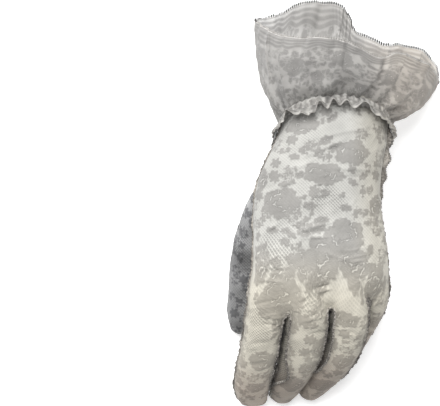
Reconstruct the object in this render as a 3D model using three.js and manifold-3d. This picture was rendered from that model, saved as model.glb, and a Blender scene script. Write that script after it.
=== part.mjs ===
// A lace dress glove for a left hand, kept in the form it has on a relaxed hand that lies palm down.
// Millimetres, +Z up. The back of the hand faces +Z, the fingers run towards -Y, the cuff towards +Y and
// the thumb lies on the -X side. The origin is the middle of the wrist, where the hand goes in.
//
// The glove is cut and sewn as such gloves are: a back panel and a palm panel meet in a seam down each side
// and over each fingertip, three forked strips (fourchettes) line the sides of the fingers, the thumb is a
// set-in piece of its own, a gathered band draws in the wrist, and one flounce stands out on either side of
// that band, as a narrow frill towards the hand and as a wide flared cuff towards the arm.
import * as THREE from 'three';
import Module from 'manifold-3d';

const wasm = await Module();
wasm.setup();

// Cloth and seams
const WALL = 1.2;            // lace with its relief
const SEAM_GAP = 0.3;        // between two pieces that are sewn together
const FINGER_SIDES = 12;
const PALM_SIDES = 26;

// The wrist: an ellipse whose axis leans down towards the arm
const WRIST = { x: 0.5, y: -4, z: 0, halfWidth: 27.6, halfDepth: 19.6, leanDegrees: 35 };
const SLEEVE_PAST_WRIST = 6; // how far the hand part runs on under the cuff
const BAND_WIDTH = 4.8;
const BAND_THICKNESS = 1.5;
// How fast the hand widens from the wrist towards the fingers, on each of its sides
const HAND_SWELL = { littleFinger: 0.1, back: 0.24, thumb: 0.5, palm: 0.78 };
const FLOUNCE_START = 3.4;   // from the middle of the band to either half of the flounce

// The palm, from the wrist to the webs. lean tips a section's top towards the arm, slant turns it in plan
// and fullness is the exponent of its superellipse.
const PALM_ROWS = [
  { x: -2.0, y: -14.5, z: 2.0, halfWidth: 29.2, halfDepth: 18.4, lean: 27, slant: 0, fullness: 2.1 },
  { x: -6.0, y: -25, z: 4.2, halfWidth: 30.9, halfDepth: 17.0, lean: 17, slant: 0, fullness: 2.15 },
  { x: -9.0, y: -37, z: 6.0, halfWidth: 32.2, halfDepth: 15.8, lean: 9, slant: 0, fullness: 2.2 },
  { x: -9.2, y: -50, z: 7.4, halfWidth: 33.2, halfDepth: 14.6, lean: 3, slant: 0, fullness: 2.25 },
  { x: -8.4, y: -65, z: 8.2, halfWidth: 34.4, halfDepth: 13.2, lean: -2, slant: 2, fullness: 2.3 },
  { x: -7.8, y: -80, z: 7.2, halfWidth: 35.6, halfDepth: 11.6, lean: -9, slant: 5, fullness: 2.3 },
  { x: -8.0, y: -91, z: 4.0, halfWidth: 36.0, halfDepth: 9.8, lean: -16, slant: 8, fullness: 2.3 },
  { x: -9.0, y: -99.5, z: 0.6, halfWidth: 31.0, halfDepth: 6.6, lean: -22, slant: 10, fullness: 2.2 },
];

// Each finger runs from a root inside the palm to its tip. The web rows are where the fingers part.
const FINGERS = {
  index: [
    { x: -14.0, y: -14.0, z: 3.0, halfWidth: 7.5, halfDepth: 7.5 },
    { x: -26.0, y: -48.0, z: 6.0, halfWidth: 7.8, halfDepth: 7.8 },
    { x: -34.0, y: -80.0, z: 8.2, halfWidth: 9.2, halfDepth: 9.0 },
    { x: -36.2, y: -103.0, z: 1.5, halfWidth: 10.1, halfDepth: 8.8 },
    { x: -38.6, y: -122.0, z: -10.0, halfWidth: 10.2, halfDepth: 8.6 },
    { x: -41.0, y: -134.5, z: -19.0, halfWidth: 9.9, halfDepth: 8.0 },
    { x: -42.2, y: -145.5, z: -28.5, halfWidth: 9.4, halfDepth: 7.0 },
    { x: -40.6, y: -153.0, z: -36.5, halfWidth: 7.2, halfDepth: 5.4 },
  ],
  middle: [
    { x: -5.0, y: -14.0, z: 3.5, halfWidth: 7.5, halfDepth: 7.5 },
    { x: -11.0, y: -48.0, z: 7.5, halfWidth: 7.8, halfDepth: 7.8 },
    { x: -15.8, y: -80.0, z: 10.6, halfWidth: 9.4, halfDepth: 9.4 },
    { x: -13.6, y: -104.0, z: 2.6, halfWidth: 10.9, halfDepth: 9.4 },
    { x: -15.2, y: -120.0, z: -9.0, halfWidth: 11.2, halfDepth: 9.2 },
    { x: -18.6, y: -133.0, z: -20.5, halfWidth: 10.5, halfDepth: 8.4 },
    { x: -22.6, y: -144.5, z: -32.0, halfWidth: 8.9, halfDepth: 7.2 },
    { x: -25.4, y: -152.5, z: -41.5, halfWidth: 6.6, halfDepth: 5.4 },
  ],
  ring: [
    { x: 4.5, y: -14.0, z: 3.0, halfWidth: 7.5, halfDepth: 7.5 },
    { x: 4.0, y: -48.0, z: 6.5, halfWidth: 7.8, halfDepth: 7.8 },
    { x: 3.8, y: -79.0, z: 9.4, halfWidth: 9.2, halfDepth: 9.0 },
    { x: 8.2, y: -100.0, z: 4.6, halfWidth: 9.9, halfDepth: 8.8 },
    { x: 7.8, y: -114.0, z: -4.0, halfWidth: 9.8, halfDepth: 8.4 },
    { x: 4.2, y: -127.0, z: -14.5, halfWidth: 9.2, halfDepth: 7.8 },
    { x: -2.2, y: -139.5, z: -27.5, halfWidth: 8.2, halfDepth: 6.8 },
    { x: -9.8, y: -150.5, z: -39.5, halfWidth: 6.4, halfDepth: 5.2 },
  ],
  little: [
    { x: 12.0, y: -14.0, z: 2.0, halfWidth: 6.8, halfDepth: 7.0 },
    { x: 14.6, y: -48.0, z: 4.5, halfWidth: 7.0, halfDepth: 7.4 },
    { x: 18.8, y: -76.0, z: 4.8, halfWidth: 8.0, halfDepth: 8.2 },
    { x: 21.8, y: -92.0, z: -3.6, halfWidth: 7.5, halfDepth: 7.4 },
    { x: 20.6, y: -102.5, z: -13.0, halfWidth: 7.3, halfDepth: 7.0 },
    { x: 16.2, y: -114.0, z: -23.5, halfWidth: 7.0, halfDepth: 6.6 },
    { x: 11.2, y: -124.5, z: -33.0, halfWidth: 6.6, halfDepth: 6.0 },
    { x: 7.0, y: -132.5, z: -40.5, halfWidth: 5.2, halfDepth: 4.6 },
  ],
};
const TIP_LENGTH = 4.2;      // of the rounded end past a finger's last row

const THUMB_ROWS = [
  { x: -16.0, y: -23.0, z: -1.0, halfWidth: 8.0, halfDepth: 7.5 },
  { x: -25.0, y: -34.0, z: -7.5, halfWidth: 11.8, halfDepth: 10.4 },
  { x: -33.0, y: -47.0, z: -15.5, halfWidth: 12.2, halfDepth: 10.8 },
  { x: -40.0, y: -61.5, z: -23.0, halfWidth: 11.0, halfDepth: 10.0 },
  { x: -44.2, y: -76.0, z: -29.0, halfWidth: 9.8, halfDepth: 9.0 },
  { x: -45.8, y: -89.0, z: -33.5, halfWidth: 9.2, halfDepth: 8.4 },
  { x: -47.2, y: -103.5, z: -38.0, halfWidth: 8.8, halfDepth: 7.6 },
  { x: -47.6, y: -114.0, z: -41.5, halfWidth: 6.6, halfDepth: 5.0 },
];

// The forked strips between the fingers, as shares of the fingers' length and of their depth
const FORKS = [
  { name: 'fourchette_index_middle', left: 'index', right: 'middle', startsAt: 0.40 },
  { name: 'fourchette_middle_ring', left: 'middle', right: 'ring', startsAt: 0.40 },
  { name: 'fourchette_ring_little', left: 'ring', right: 'little', startsAt: 0.38 },
];
const FORK_SHARE_OF_DEPTH = 0.5;
const FORK_ENDS_AT = 0.92;   // where the strip runs out to a point
const FORK_TAPERS_OVER = 0.3;

// The cuff's rim, at angles round the wrist: 0 is the little finger's side and 90 the back of the hand
const CUFF_RIM = [
  { angle: 0, x: 60.9, y: 20.7, z: -30 },
  { angle: 16, x: 54.3, y: 26.7, z: -12 },
  { angle: 34, x: 43.5, y: 30.1, z: 4 },
  { angle: 50, x: 30.9, y: 31.6, z: 19 },
  { angle: 64, x: 20.6, y: 28.3, z: 25 },
  { angle: 78, x: 9.0, y: 31.7, z: 37 },
  { angle: 94, x: -1.3, y: 35.1, z: 41 },
  { angle: 112, x: -10.9, y: 36.8, z: 38 },
  { angle: 130, x: -20.2, y: 37.4, z: 32 },
  { angle: 148, x: -29.0, y: 40.3, z: 19 },
  { angle: 166, x: -36.5, y: 46.7, z: 2 },
  { angle: 184, x: -40.4, y: 55.2, z: -24 },
  { angle: 200, x: -32.0, y: 58.8, z: -37 },
  { angle: 214, x: -24.4, y: 62.2, z: -43 },
  { angle: 230, x: -14.6, y: 67.8, z: -46 },
  { angle: 246, x: -3.2, y: 69.4, z: -46.5 },
  { angle: 260, x: 7.4, y: 67.4, z: -45.5 },
  { angle: 272, x: 12.2, y: 60.2, z: -42 },
  { angle: 284, x: 14.9, y: 51.6, z: -39 },
  { angle: 296, x: 22.6, y: 48.3, z: -43 },
  { angle: 308, x: 32.8, y: 43.6, z: -40 },
  { angle: 322, x: 42.0, y: 44.2, z: -45.5 },
  { angle: 336, x: 53.2, y: 41.2, z: -46 },
  { angle: 348, x: 60.6, y: 33.3, z: -41 },
];
const CUFF_BULGE = { towardsThumb: 5.0, towardsLittleFinger: 2.5, overHand: 4.0, towardsFingers: 4.0 };
const GATHERS = 19;          // pleats where the flounce is drawn in
const GATHER_DEPTH = 0.5;
const CUFF_ROUND = 76;
const CUFF_ROWS = 5;

const FRILL = { length: 5.6, flare: 0.9, waves: 16, waveDepth: 0.7, round: 64, rows: 2 };

// Small helpers

const degrees = (value) => THREE.MathUtils.degToRad(value);

/** Turns a closed mesh, given as points and triangles, into a solid that can be joined and cut. */
function solidOf(points, triangles) {
  let volume = 0;
  const normal = new THREE.Vector3();
  for (const [a, b, c] of triangles) {
    volume += points[a].dot(normal.crossVectors(points[b], points[c]));
  }
  const outward = volume < 0 ? triangles.map(([a, b, c]) => [a, c, b]) : triangles;
  return new wasm.Manifold(new wasm.Mesh({
    numProp: 3,
    vertProperties: new Float32Array(points.flatMap((p) => [p.x, p.y, p.z])),
    triVerts: new Uint32Array(outward.flat()),
  }));
}

/** Joins rings of points, all with the same count, into a closed body with a flat or pointed end each way. */
function loft(rings) {
  const count = rings[0].length;
  const points = rings.flat();
  const triangles = [];
  for (let i = 0; i + 1 < rings.length; i += 1) {
    for (let k = 0; k < count; k += 1) {
      const a = i * count + k;
      const b = i * count + ((k + 1) % count);
      triangles.push([a, b, b + count], [a, b + count, a + count]);
    }
  }
  const closeEnd = (ring, start, reversed) => {
    const middle = ring.reduce((sum, p) => sum.add(p), new THREE.Vector3()).divideScalar(count);
    const hub = points.push(middle) - 1;
    for (let k = 0; k < count; k += 1) {
      const pair = [start + k, start + ((k + 1) % count)];
      triangles.push(reversed ? [hub, pair[1], pair[0]] : [hub, ...pair]);
    }
  };
  closeEnd(rings[0], 0, true);
  closeEnd(rings[rings.length - 1], (rings.length - 1) * count, false);
  return solidOf(points, triangles);
}

/**
 * Closes the space between two layers of points into a body. Both layers have the same rows and columns,
 * and both split their squares along the same diagonal. A closed layer's last column joins its first.
 */
function slab(low, high, closed = false) {
  const rows = low.length;
  const columns = low[0].length;
  const index = (layer, row, column) => (layer * rows + row) * columns + (column % columns);
  const triangles = [];
  const addStrip = (from, to) => triangles.push([from[0], from[1], to[1]], [from[0], to[1], to[0]]);
  const spans = closed ? columns : columns - 1;
  for (let k = 0; k < spans; k += 1) {
    for (let i = 0; i + 1 < rows; i += 1) {
      for (const layer of [0, 1]) {
        const [a, b] = [index(layer, i, k), index(layer, i, k + 1)];
        const [c, d] = [index(layer, i + 1, k + 1), index(layer, i + 1, k)];
        triangles.push(...(layer ? [[a, b, c], [a, c, d]] : [[a, c, b], [a, d, c]]));
      }
    }
    addStrip([index(0, 0, k), index(0, 0, k + 1)], [index(1, 0, k), index(1, 0, k + 1)]);
    const end = rows - 1;
    addStrip([index(1, end, k), index(1, end, k + 1)], [index(0, end, k), index(0, end, k + 1)]);
  }
  for (let i = 0; !closed && i + 1 < rows; i += 1) {
    const last = columns - 1;
    addStrip([index(1, i, 0), index(1, i + 1, 0)], [index(0, i, 0), index(0, i + 1, 0)]);
    addStrip([index(0, i, last), index(0, i + 1, last)], [index(1, i, last), index(1, i + 1, last)]);
  }
  return solidOf([...low.flat(), ...high.flat()], triangles);
}

/** A superellipse of points round a centre, in the plane of two unit vectors. */
function ringOfPoints({ centre, across, up, halfWidth, halfDepth, fullness = 2, sides }) {
  const power = 2 / fullness;
  const signedPower = (value) => Math.sign(value) * Math.abs(value) ** power;
  return Array.from({ length: sides }, (_, k) => {
    const turn = (2 * Math.PI * k) / sides;
    return centre.clone()
      .addScaledVector(across, halfWidth * signedPower(Math.cos(turn)))
      .addScaledVector(up, halfDepth * signedPower(Math.sin(turn)));
  });
}

// Fingers and thumb

/** The centreline of a finger, with the frame and the half sizes of its section at any share of its length. */
class FingerAxis {
  constructor(rows) {
    this.path = new THREE.CatmullRomCurve3(rows.map((r) => new THREE.Vector3(r.x, r.y, r.z)));
    this.size = new THREE.CatmullRomCurve3(rows.map((r) => new THREE.Vector3(r.halfWidth, r.halfDepth, 0)));
  }

  at(share) {
    const centre = this.path.getPoint(share);
    const along = this.path.getTangent(share);
    const across = new THREE.Vector3(1, 0, 0).addScaledVector(along, -along.x).normalize();
    const up = new THREE.Vector3().crossVectors(across, along).normalize();
    const size = this.size.getPoint(share);
    return { centre, along, across, up: up.z < 0 ? up.negate() : up, halfWidth: size.x, halfDepth: size.y };
  }

  /** The tube round the centreline, taken in by inset, with a rounded tip. */
  tube(inset = 0) {
    const rings = [];
    const sections = 9;
    for (let i = 0; i <= sections; i += 1) {
      const section = this.at(i / sections);
      rings.push(ringOfPoints({
        ...section, sides: FINGER_SIDES,
        halfWidth: section.halfWidth - inset, halfDepth: section.halfDepth - inset,
      }));
    }
    const end = this.at(1);
    for (const turn of [28, 56, 80]) {
      rings.push(ringOfPoints({
        ...end, sides: FINGER_SIDES,
        centre: end.centre.clone().addScaledVector(end.along, (TIP_LENGTH - inset) * Math.sin(degrees(turn))),
        halfWidth: (end.halfWidth - inset) * Math.cos(degrees(turn)),
        halfDepth: (end.halfDepth - inset) * Math.cos(degrees(turn)),
      }));
    }
    return loft(rings);
  }

  /** A point on or beside the centreline. Past the tip it runs straight on by the given length. */
  pointAt(share, { across = 0, up = 0, past = 0 } = {}) {
    const frame = this.at(share);
    return frame.centre.clone()
      .addScaledVector(frame.across, across)
      .addScaledVector(frame.up, up)
      .addScaledVector(frame.along, past);
  }
}

const fingerAxes = Object.fromEntries(
  Object.entries(FINGERS).map(([name, rows]) => [name, new FingerAxis(rows)]),
);
const thumbAxis = new FingerAxis(THUMB_ROWS);

// Wrist frame and palm

const wristLean = degrees(WRIST.leanDegrees);
const wrist = {
  centre: new THREE.Vector3(WRIST.x, WRIST.y, WRIST.z),
  towardsArm: new THREE.Vector3(0, Math.cos(wristLean), -Math.sin(wristLean)),
  across: new THREE.Vector3(1, 0, 0),
  up: new THREE.Vector3(0, Math.sin(wristLean), Math.cos(wristLean)),
};

/** A point near the wrist, by its turn round the wrist, its distance outside the sleeve and along its axis. */
function wristPoint(turn, outside, towardsArm) {
  const side = Math.cos(turn);
  const rise = Math.sin(turn);
  const swell = (side > 0 ? HAND_SWELL.littleFinger : HAND_SWELL.thumb) * side ** 2
    + (rise > 0 ? HAND_SWELL.back : HAND_SWELL.palm) * rise ** 2;
  const clear = outside + swell * Math.max(0, -towardsArm);
  return wrist.centre.clone()
    .addScaledVector(wrist.across, (WRIST.halfWidth + clear) * side)
    .addScaledVector(wrist.up, (WRIST.halfDepth + clear) * rise)
    .addScaledVector(wrist.towardsArm, towardsArm);
}

/** The palm as a solid body, taken in by inset, which runs towards the arm by sleeve millimetres. */
function palmBody(inset, sleeve) {
  const wristRing = (towardsArm) => Array.from({ length: PALM_SIDES }, (_, k) => (
    wristPoint((2 * Math.PI * k) / PALM_SIDES, -inset, towardsArm)));
  const rings = [wristRing(sleeve), wristRing(0)];
  for (const row of PALM_ROWS) {
    const lean = degrees(row.lean);
    const slant = degrees(row.slant);
    const atWeb = row === PALM_ROWS[PALM_ROWS.length - 1];
    rings.push(ringOfPoints({
      centre: new THREE.Vector3(row.x, row.y + (atWeb ? inset : 0), row.z),
      across: new THREE.Vector3(Math.cos(slant), Math.sin(slant), 0),
      up: new THREE.Vector3(0, Math.sin(lean), Math.cos(lean)),
      halfWidth: row.halfWidth - inset,
      halfDepth: row.halfDepth - inset,
      fullness: row.fullness,
      sides: PALM_SIDES,
    }));
  }
  return loft(rings);
}

/** The whole hand without its thumb, taken in by inset. */
function handBody(inset, sleeve) {
  return Object.values(fingerAxes).reduce(
    (body, axis) => body.add(axis.tube(inset)), palmBody(inset, sleeve));
}

// Cutting the hand into panels

/** The space that a forked strip takes up: all that lies between two fingers' axes, near their middle plane. */
function forkSpace({ left, right, startsAt }, grow) {
  const axes = [fingerAxes[left], fingerAxes[right]];
  const layer = (side) => {
    const rows = [];
    const steps = 8;
    for (let i = 0; i <= steps; i += 1) {
      const share = startsAt + ((FORK_ENDS_AT - startsAt) * i) / steps;
      const runOut = Math.min(1, (FORK_ENDS_AT - share) / FORK_TAPERS_OVER);
      const past = { 0: -grow, [steps]: grow }[i] ?? 0;
      rows.push(axes.map((axis) => {
        const up = axis.at(share).halfDepth * FORK_SHARE_OF_DEPTH * (0.25 + 0.75 * runOut) + grow;
        return axis.pointAt(share, { up: side * up, past });
      }));
    }
    return rows;
  };
  return slab(layer(-1), layer(1));
}

/** A thin curved wall through the middle plane of the hand and the fingers, which opens the side seams. */
function seamWall() {
  const axes = Object.values(fingerAxes);
  const beside = 45;
  const beyondTips = 25;
  const wide = (points) => [
    points[0].clone().setX(points[0].x - beside), ...points,
    points[points.length - 1].clone().setX(points[points.length - 1].x + beside),
  ];
  const layer = (side) => {
    const up = (side * SEAM_GAP) / 2;
    const rows = [SLEEVE_PAST_WRIST + 3, 0].map((towardsArm) => {
      const middle = wrist.centre.clone()
        .addScaledVector(wrist.towardsArm, towardsArm)
        .addScaledVector(wrist.up, up);
      return wide(axes.map((axis) => middle.clone().setX(axis.at(0).centre.x)));
    });
    const steps = 10;
    for (let i = 0; i <= steps; i += 1) {
      const past = i === steps ? beyondTips : 0;
      rows.push(wide(axes.map((axis) => axis.pointAt(i / steps, { up, past }))));
    }
    return rows;
  };
  return slab(layer(-1), layer(1));
}

/** The largest connected bodies of a solid, the highest first. */
function mainBodies(solid, count) {
  const height = (body) => {
    const box = body.boundingBox();
    return box.max[2] + box.min[2];
  };
  return solid.decompose()
    .sort((a, b) => b.volume() - a.volume())
    .slice(0, count)
    .sort((a, b) => height(b) - height(a));
}

const sleeveEnd = SLEEVE_PAST_WRIST;
const thumbHollow = thumbAxis.tube(WALL);
const handShell = handBody(0, sleeveEnd)
  .subtract(handBody(WALL, sleeveEnd + 8))
  .subtract(thumbHollow);

const forkPieces = FORKS.map((fork) => {
  const [piece] = mainBodies(handShell.intersect(forkSpace(fork, 0)), 1);
  return { name: fork.name, piece };
});

let panels = handShell.subtract(seamWall());
for (const fork of FORKS) panels = panels.subtract(forkSpace(fork, SEAM_GAP));
const [backPanel, palmPanel] = mainBodies(panels, 2);

const [thumbPiece] = mainBodies(
  thumbAxis.tube(0).subtract(thumbHollow).subtract(handBody(-SEAM_GAP, sleeveEnd)), 1);

// Wrist band, frill and cuff

/** A sheet of cloth that closes round the wrist: rows of points, each row a ring, made into a wall. */
function sheetWall(rows) {
  const count = rows[0].length;
  const sideOf = (i, k, distance) => {
    const before = rows[Math.max(i - 1, 0)][k];
    const after = rows[Math.min(i + 1, rows.length - 1)][k];
    const left = rows[i][(k + count - 1) % count];
    const right = rows[i][(k + 1) % count];
    const normal = new THREE.Vector3().crossVectors(right.clone().sub(left), after.clone().sub(before));
    return rows[i][k].clone().addScaledVector(normal.normalize(), distance);
  };
  const layer = (distance) => rows.map((row, i) => row.map((_, k) => sideOf(i, k, distance)));
  return slab(layer(-WALL / 2), layer(WALL / 2), true);
}

/** The band that draws in the wrist, snug round the two panels. */
function wristBand() {
  const half = BAND_WIDTH / 2;
  const ring = (outside, along) => Array.from({ length: PALM_SIDES }, (_, k) => (
    wristPoint((2 * Math.PI * k) / PALM_SIDES, outside, along)));
  const outer = loft([
    ring(SEAM_GAP + BAND_THICKNESS, -half),
    ring(SEAM_GAP + BAND_THICKNESS, half),
  ]);
  return outer.subtract(handBody(-SEAM_GAP, sleeveEnd));
}

const rimPath = new THREE.CatmullRomCurve3(
  CUFF_RIM.map((r) => new THREE.Vector3(r.x, r.y, r.z)), true, 'catmullrom', 0.5);

/** The rim's point at an angle round the wrist, in degrees. */
function rimPoint(angle) {
  const rows = CUFF_RIM.length;
  let i = 0;
  while (i + 1 < rows && CUFF_RIM[i + 1].angle <= angle) i += 1;
  const next = i + 1 < rows ? CUFF_RIM[i + 1].angle : 360;
  const share = (angle - CUFF_RIM[i].angle) / (next - CUFF_RIM[i].angle);
  return rimPath.getPoint((i + share) / rows);
}

/** Where the gathered flounce leaves the band, with its small pleats. */
function gatheredEdge(turn, towardsArm) {
  const outside = SEAM_GAP + WALL / 2 + GATHER_DEPTH * (1.4 + Math.sin(GATHERS * turn));
  return wristPoint(turn, outside, towardsArm);
}

function cuff() {
  const rows = [];
  for (let i = 0; i <= CUFF_ROWS; i += 1) {
    const share = i / CUFF_ROWS;
    rows.push(Array.from({ length: CUFF_ROUND }, (_, k) => {
      const turn = (2 * Math.PI * k) / CUFF_ROUND;
      const start = gatheredEdge(turn, FLOUNCE_START);
      const rim = rimPoint((360 * k) / CUFF_ROUND);
      const side = Math.cos(turn);
      const sideBulge = side < 0 ? CUFF_BULGE.towardsThumb : CUFF_BULGE.towardsLittleFinger;
      const bulge = 4 * share * (1 - share);
      const sag = -CUFF_BULGE.towardsFingers * Math.max(0, side) ** 2;
      const swell = new THREE.Vector3(side * sideBulge, sag, Math.sin(turn) * CUFF_BULGE.overHand);
      return start.lerp(rim, share).addScaledVector(swell, bulge);
    }));
  }
  return sheetWall(rows);
}

function frill() {
  const rows = [];
  for (let i = 0; i <= FRILL.rows; i += 1) {
    const share = i / FRILL.rows;
    rows.push(Array.from({ length: FRILL.round }, (_, k) => {
      const turn = (2 * Math.PI * k) / FRILL.round;
      const wave = Math.sin(FRILL.waves * turn);
      const point = gatheredEdge(turn, -FLOUNCE_START - FRILL.length * share);
      const outwards = wristPoint(turn, 1, 0).sub(wristPoint(turn, 0, 0)).normalize();
      return point.addScaledVector(outwards, FRILL.flare * share ** 0.6 + FRILL.waveDepth * wave * share);
    }));
  }
  return sheetWall(rows);
}

// The assembly

const LACE = { grey: 0xb9b6b0, frill: 0xb3aeab, thumb: 0x8f8d92, band: 0xa8a49f };

/** A named mesh of a solid, in the lace's colour. */
function meshOf(name, solid, color) {
  const { numProp, vertProperties, triVerts } = solid.getMesh();
  const geometry = new THREE.BufferGeometry();
  const positions = new Float32Array((vertProperties.length / numProp) * 3);
  for (let i = 0; i < positions.length / 3; i += 1) {
    for (let axis = 0; axis < 3; axis += 1) positions[3 * i + axis] = vertProperties[numProp * i + axis];
  }
  geometry.setAttribute('position', new THREE.BufferAttribute(positions, 3));
  geometry.setIndex(new THREE.BufferAttribute(new Uint32Array(triVerts), 1));
  geometry.computeVertexNormals();
  const mesh = new THREE.Mesh(geometry, new THREE.MeshStandardMaterial({ color, roughness: 0.85, metalness: 0 }));
  mesh.name = name;
  return mesh;
}

const glove = new THREE.Group();
glove.add(meshOf('back_panel', backPanel, LACE.grey));
glove.add(meshOf('palm_panel', palmPanel, LACE.grey));
for (const { name, piece } of forkPieces) glove.add(meshOf(name, piece, LACE.grey));
glove.add(meshOf('thumb', thumbPiece, LACE.thumb));
glove.add(meshOf('wrist_band', wristBand(), LACE.band));
glove.add(meshOf('wrist_frill', frill(), LACE.frill));
glove.add(meshOf('flared_cuff', cuff(), LACE.grey));

export default glove;
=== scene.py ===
"""Looks of a grey floral lace dress glove for a left hand, in its worn form.

Every length in this file is in millimetres and in the part's own frame, until a mesh is made in metres:
+Y runs towards the arm, -Y towards the fingertips, +Z out of the back of the hand, and the thumb is on the
-X side. The hand skin repeats the part's tables, is joined into one smooth surface and is then cut along the
real seams into back, palm, forked strips and thumb. Each panel is flattened, so that the net and the woven
flowers keep their true size over every finger.
"""
from __future__ import annotations

import logging
import math
from dataclasses import dataclass, field
from enum import Enum, IntEnum

import bpy
import numpy as np
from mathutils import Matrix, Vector
from mathutils.bvhtree import BVHTree
from mathutils.kdtree import KDTree

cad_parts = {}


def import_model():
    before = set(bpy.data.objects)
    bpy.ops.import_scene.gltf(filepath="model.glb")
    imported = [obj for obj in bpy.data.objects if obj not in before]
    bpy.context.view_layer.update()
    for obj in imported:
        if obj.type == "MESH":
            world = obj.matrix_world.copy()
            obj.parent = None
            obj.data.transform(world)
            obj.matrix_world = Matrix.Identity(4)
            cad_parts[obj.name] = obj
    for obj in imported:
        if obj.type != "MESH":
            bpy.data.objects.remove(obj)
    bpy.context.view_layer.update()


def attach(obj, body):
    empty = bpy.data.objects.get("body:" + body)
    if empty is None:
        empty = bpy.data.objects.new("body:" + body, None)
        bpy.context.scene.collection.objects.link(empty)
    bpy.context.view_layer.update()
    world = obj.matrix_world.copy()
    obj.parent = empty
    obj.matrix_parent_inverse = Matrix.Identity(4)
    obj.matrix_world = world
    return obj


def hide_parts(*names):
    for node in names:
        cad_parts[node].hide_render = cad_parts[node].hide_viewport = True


log = logging.getLogger("lace_glove")

MM = 0.001

# sizes that the part's source has too, in millimetres
WALL = 1.2
TIP_LENGTH = 4.2
SLEEVE_PAST_WRIST = 6.0
FLOUNCE_START = 3.4
SEAM_GAP = 0.3

# sides and rings of the lofts
PALM_SIDES, FINGER_SIDES, FINGER_RINGS = 64, 40, 60
# the share of a finger's line where it comes out of the palm, for its flat map
LEAVES_PALM_AT = 0.48
# shares of the way to the average of a point's neighbours, for one round of smoothing
PULL_IN, PUSH_OUT = 0.6, -0.62
# millimetres of forked strip for the whole of a finger's line
STRIP_RUN = 140
# the level of a point that is outside every outline, in millimetres
OUTSIDE = -9.0
# a whole turn, for random angles
TURN = 6.28

Array = np.ndarray
Socket = bpy.types.NodeSocket
Row = tuple[float, ...]
Colour = tuple[float, float, float]

# x, y, z, half width, half depth, lean, slant, fullness
PALM_ROWS: list[Row] = [
    (-2, -14.5, 2, 29.2, 18.4, 27, 0, 2.1), (-6, -25, 4.2, 30.9, 17, 17, 0, 2.15),
    (-9, -37, 6, 32.2, 15.8, 9, 0, 2.2), (-9.2, -50, 7.4, 33.2, 14.6, 3, 0, 2.25),
    (-8.4, -65, 8.2, 34.4, 13.2, -2, 2, 2.3), (-7.8, -80, 7.2, 35.6, 11.6, -9, 5, 2.3),
    (-8, -91, 4, 36, 9.8, -16, 8, 2.3), (-9, -99.5, 0.6, 31, 6.6, -22, 10, 2.2),
]

# x, y, z, half width, half depth
FINGER_ROWS: dict[str, list[Row]] = {
    "index": [
        (-14, -14, 3, 7.5, 7.5), (-26, -48, 6, 7.8, 7.8), (-34, -80, 8.2, 9.2, 9), (-36.2, -103, 1.5, 10.1, 8.8),
        (-38.6, -122, -10, 10.2, 8.6), (-41, -134.5, -19, 9.9, 8), (-42.2, -145.5, -28.5, 9.4, 7),
        (-40.6, -153, -36.5, 7.2, 5.4),
    ],
    "middle": [
        (-5, -14, 3.5, 7.5, 7.5), (-11, -48, 7.5, 7.8, 7.8), (-15.8, -80, 10.6, 9.4, 9.4),
        (-13.6, -104, 2.6, 10.9, 9.4), (-15.2, -120, -9, 11.2, 9.2), (-18.6, -133, -20.5, 10.5, 8.4),
        (-22.6, -144.5, -32, 8.9, 7.2), (-25.4, -152.5, -41.5, 6.6, 5.4),
    ],
    "ring": [
        (4.5, -14, 3, 7.5, 7.5), (4, -48, 6.5, 7.8, 7.8), (3.8, -79, 9.4, 9.2, 9), (8.2, -100, 4.6, 9.9, 8.8),
        (7.8, -114, -4, 9.8, 8.4), (4.2, -127, -14.5, 9.2, 7.8), (-2.2, -139.5, -27.5, 8.2, 6.8),
        (-9.8, -150.5, -39.5, 6.4, 5.2),
    ],
    "little": [
        (12, -14, 2, 6.8, 7), (14.6, -48, 4.5, 7, 7.4), (18.8, -76, 4.8, 8, 8.2), (21.8, -92, -3.6, 7.5, 7.4),
        (20.6, -102.5, -13, 7.3, 7), (16.2, -114, -23.5, 7, 6.6), (11.2, -124.5, -33, 6.6, 6),
        (7, -132.5, -40.5, 5.2, 4.6),
    ],
}

THUMB_ROWS: list[Row] = [
    (-16, -23, -1, 8, 7.5), (-25, -34, -7.5, 11.8, 10.4), (-33, -47, -15.5, 12.2, 10.8), (-40, -61.5, -23, 11, 10),
    (-44.2, -76, -29, 9.8, 9), (-45.8, -89, -33.5, 9.2, 8.4), (-47.2, -103.5, -38, 8.8, 7.6),
    (-47.6, -114, -41.5, 6.6, 5),
]

# angle round the wrist in degrees, x, y, z
CUFF_RIM: list[Row] = [
    (0, 60.9, 20.7, -30), (16, 54.3, 26.7, -12), (34, 43.5, 30.1, 4), (50, 30.9, 31.6, 19), (64, 20.6, 28.3, 25),
    (78, 9, 31.7, 37), (94, -1.3, 35.1, 41), (112, -10.9, 36.8, 38), (130, -20.2, 37.4, 32), (148, -29, 40.3, 19),
    (166, -36.5, 46.7, 2), (184, -40.4, 55.2, -24), (200, -32, 58.8, -37), (214, -24.4, 62.2, -43),
    (230, -14.6, 67.1, -46), (246, -3.2, 68.5, -46.5), (260, 7.4, 66.8, -45.5), (272, 12.2, 60.2, -42),
    (284, 14.9, 51.6, -39), (296, 22.6, 48.3, -43), (308, 32.8, 43.6, -40), (322, 42, 44.2, -45.5),
    (336, 53.2, 41.2, -46), (348, 60.6, 33.3, -41),
]


# Curves and lofts


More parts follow.
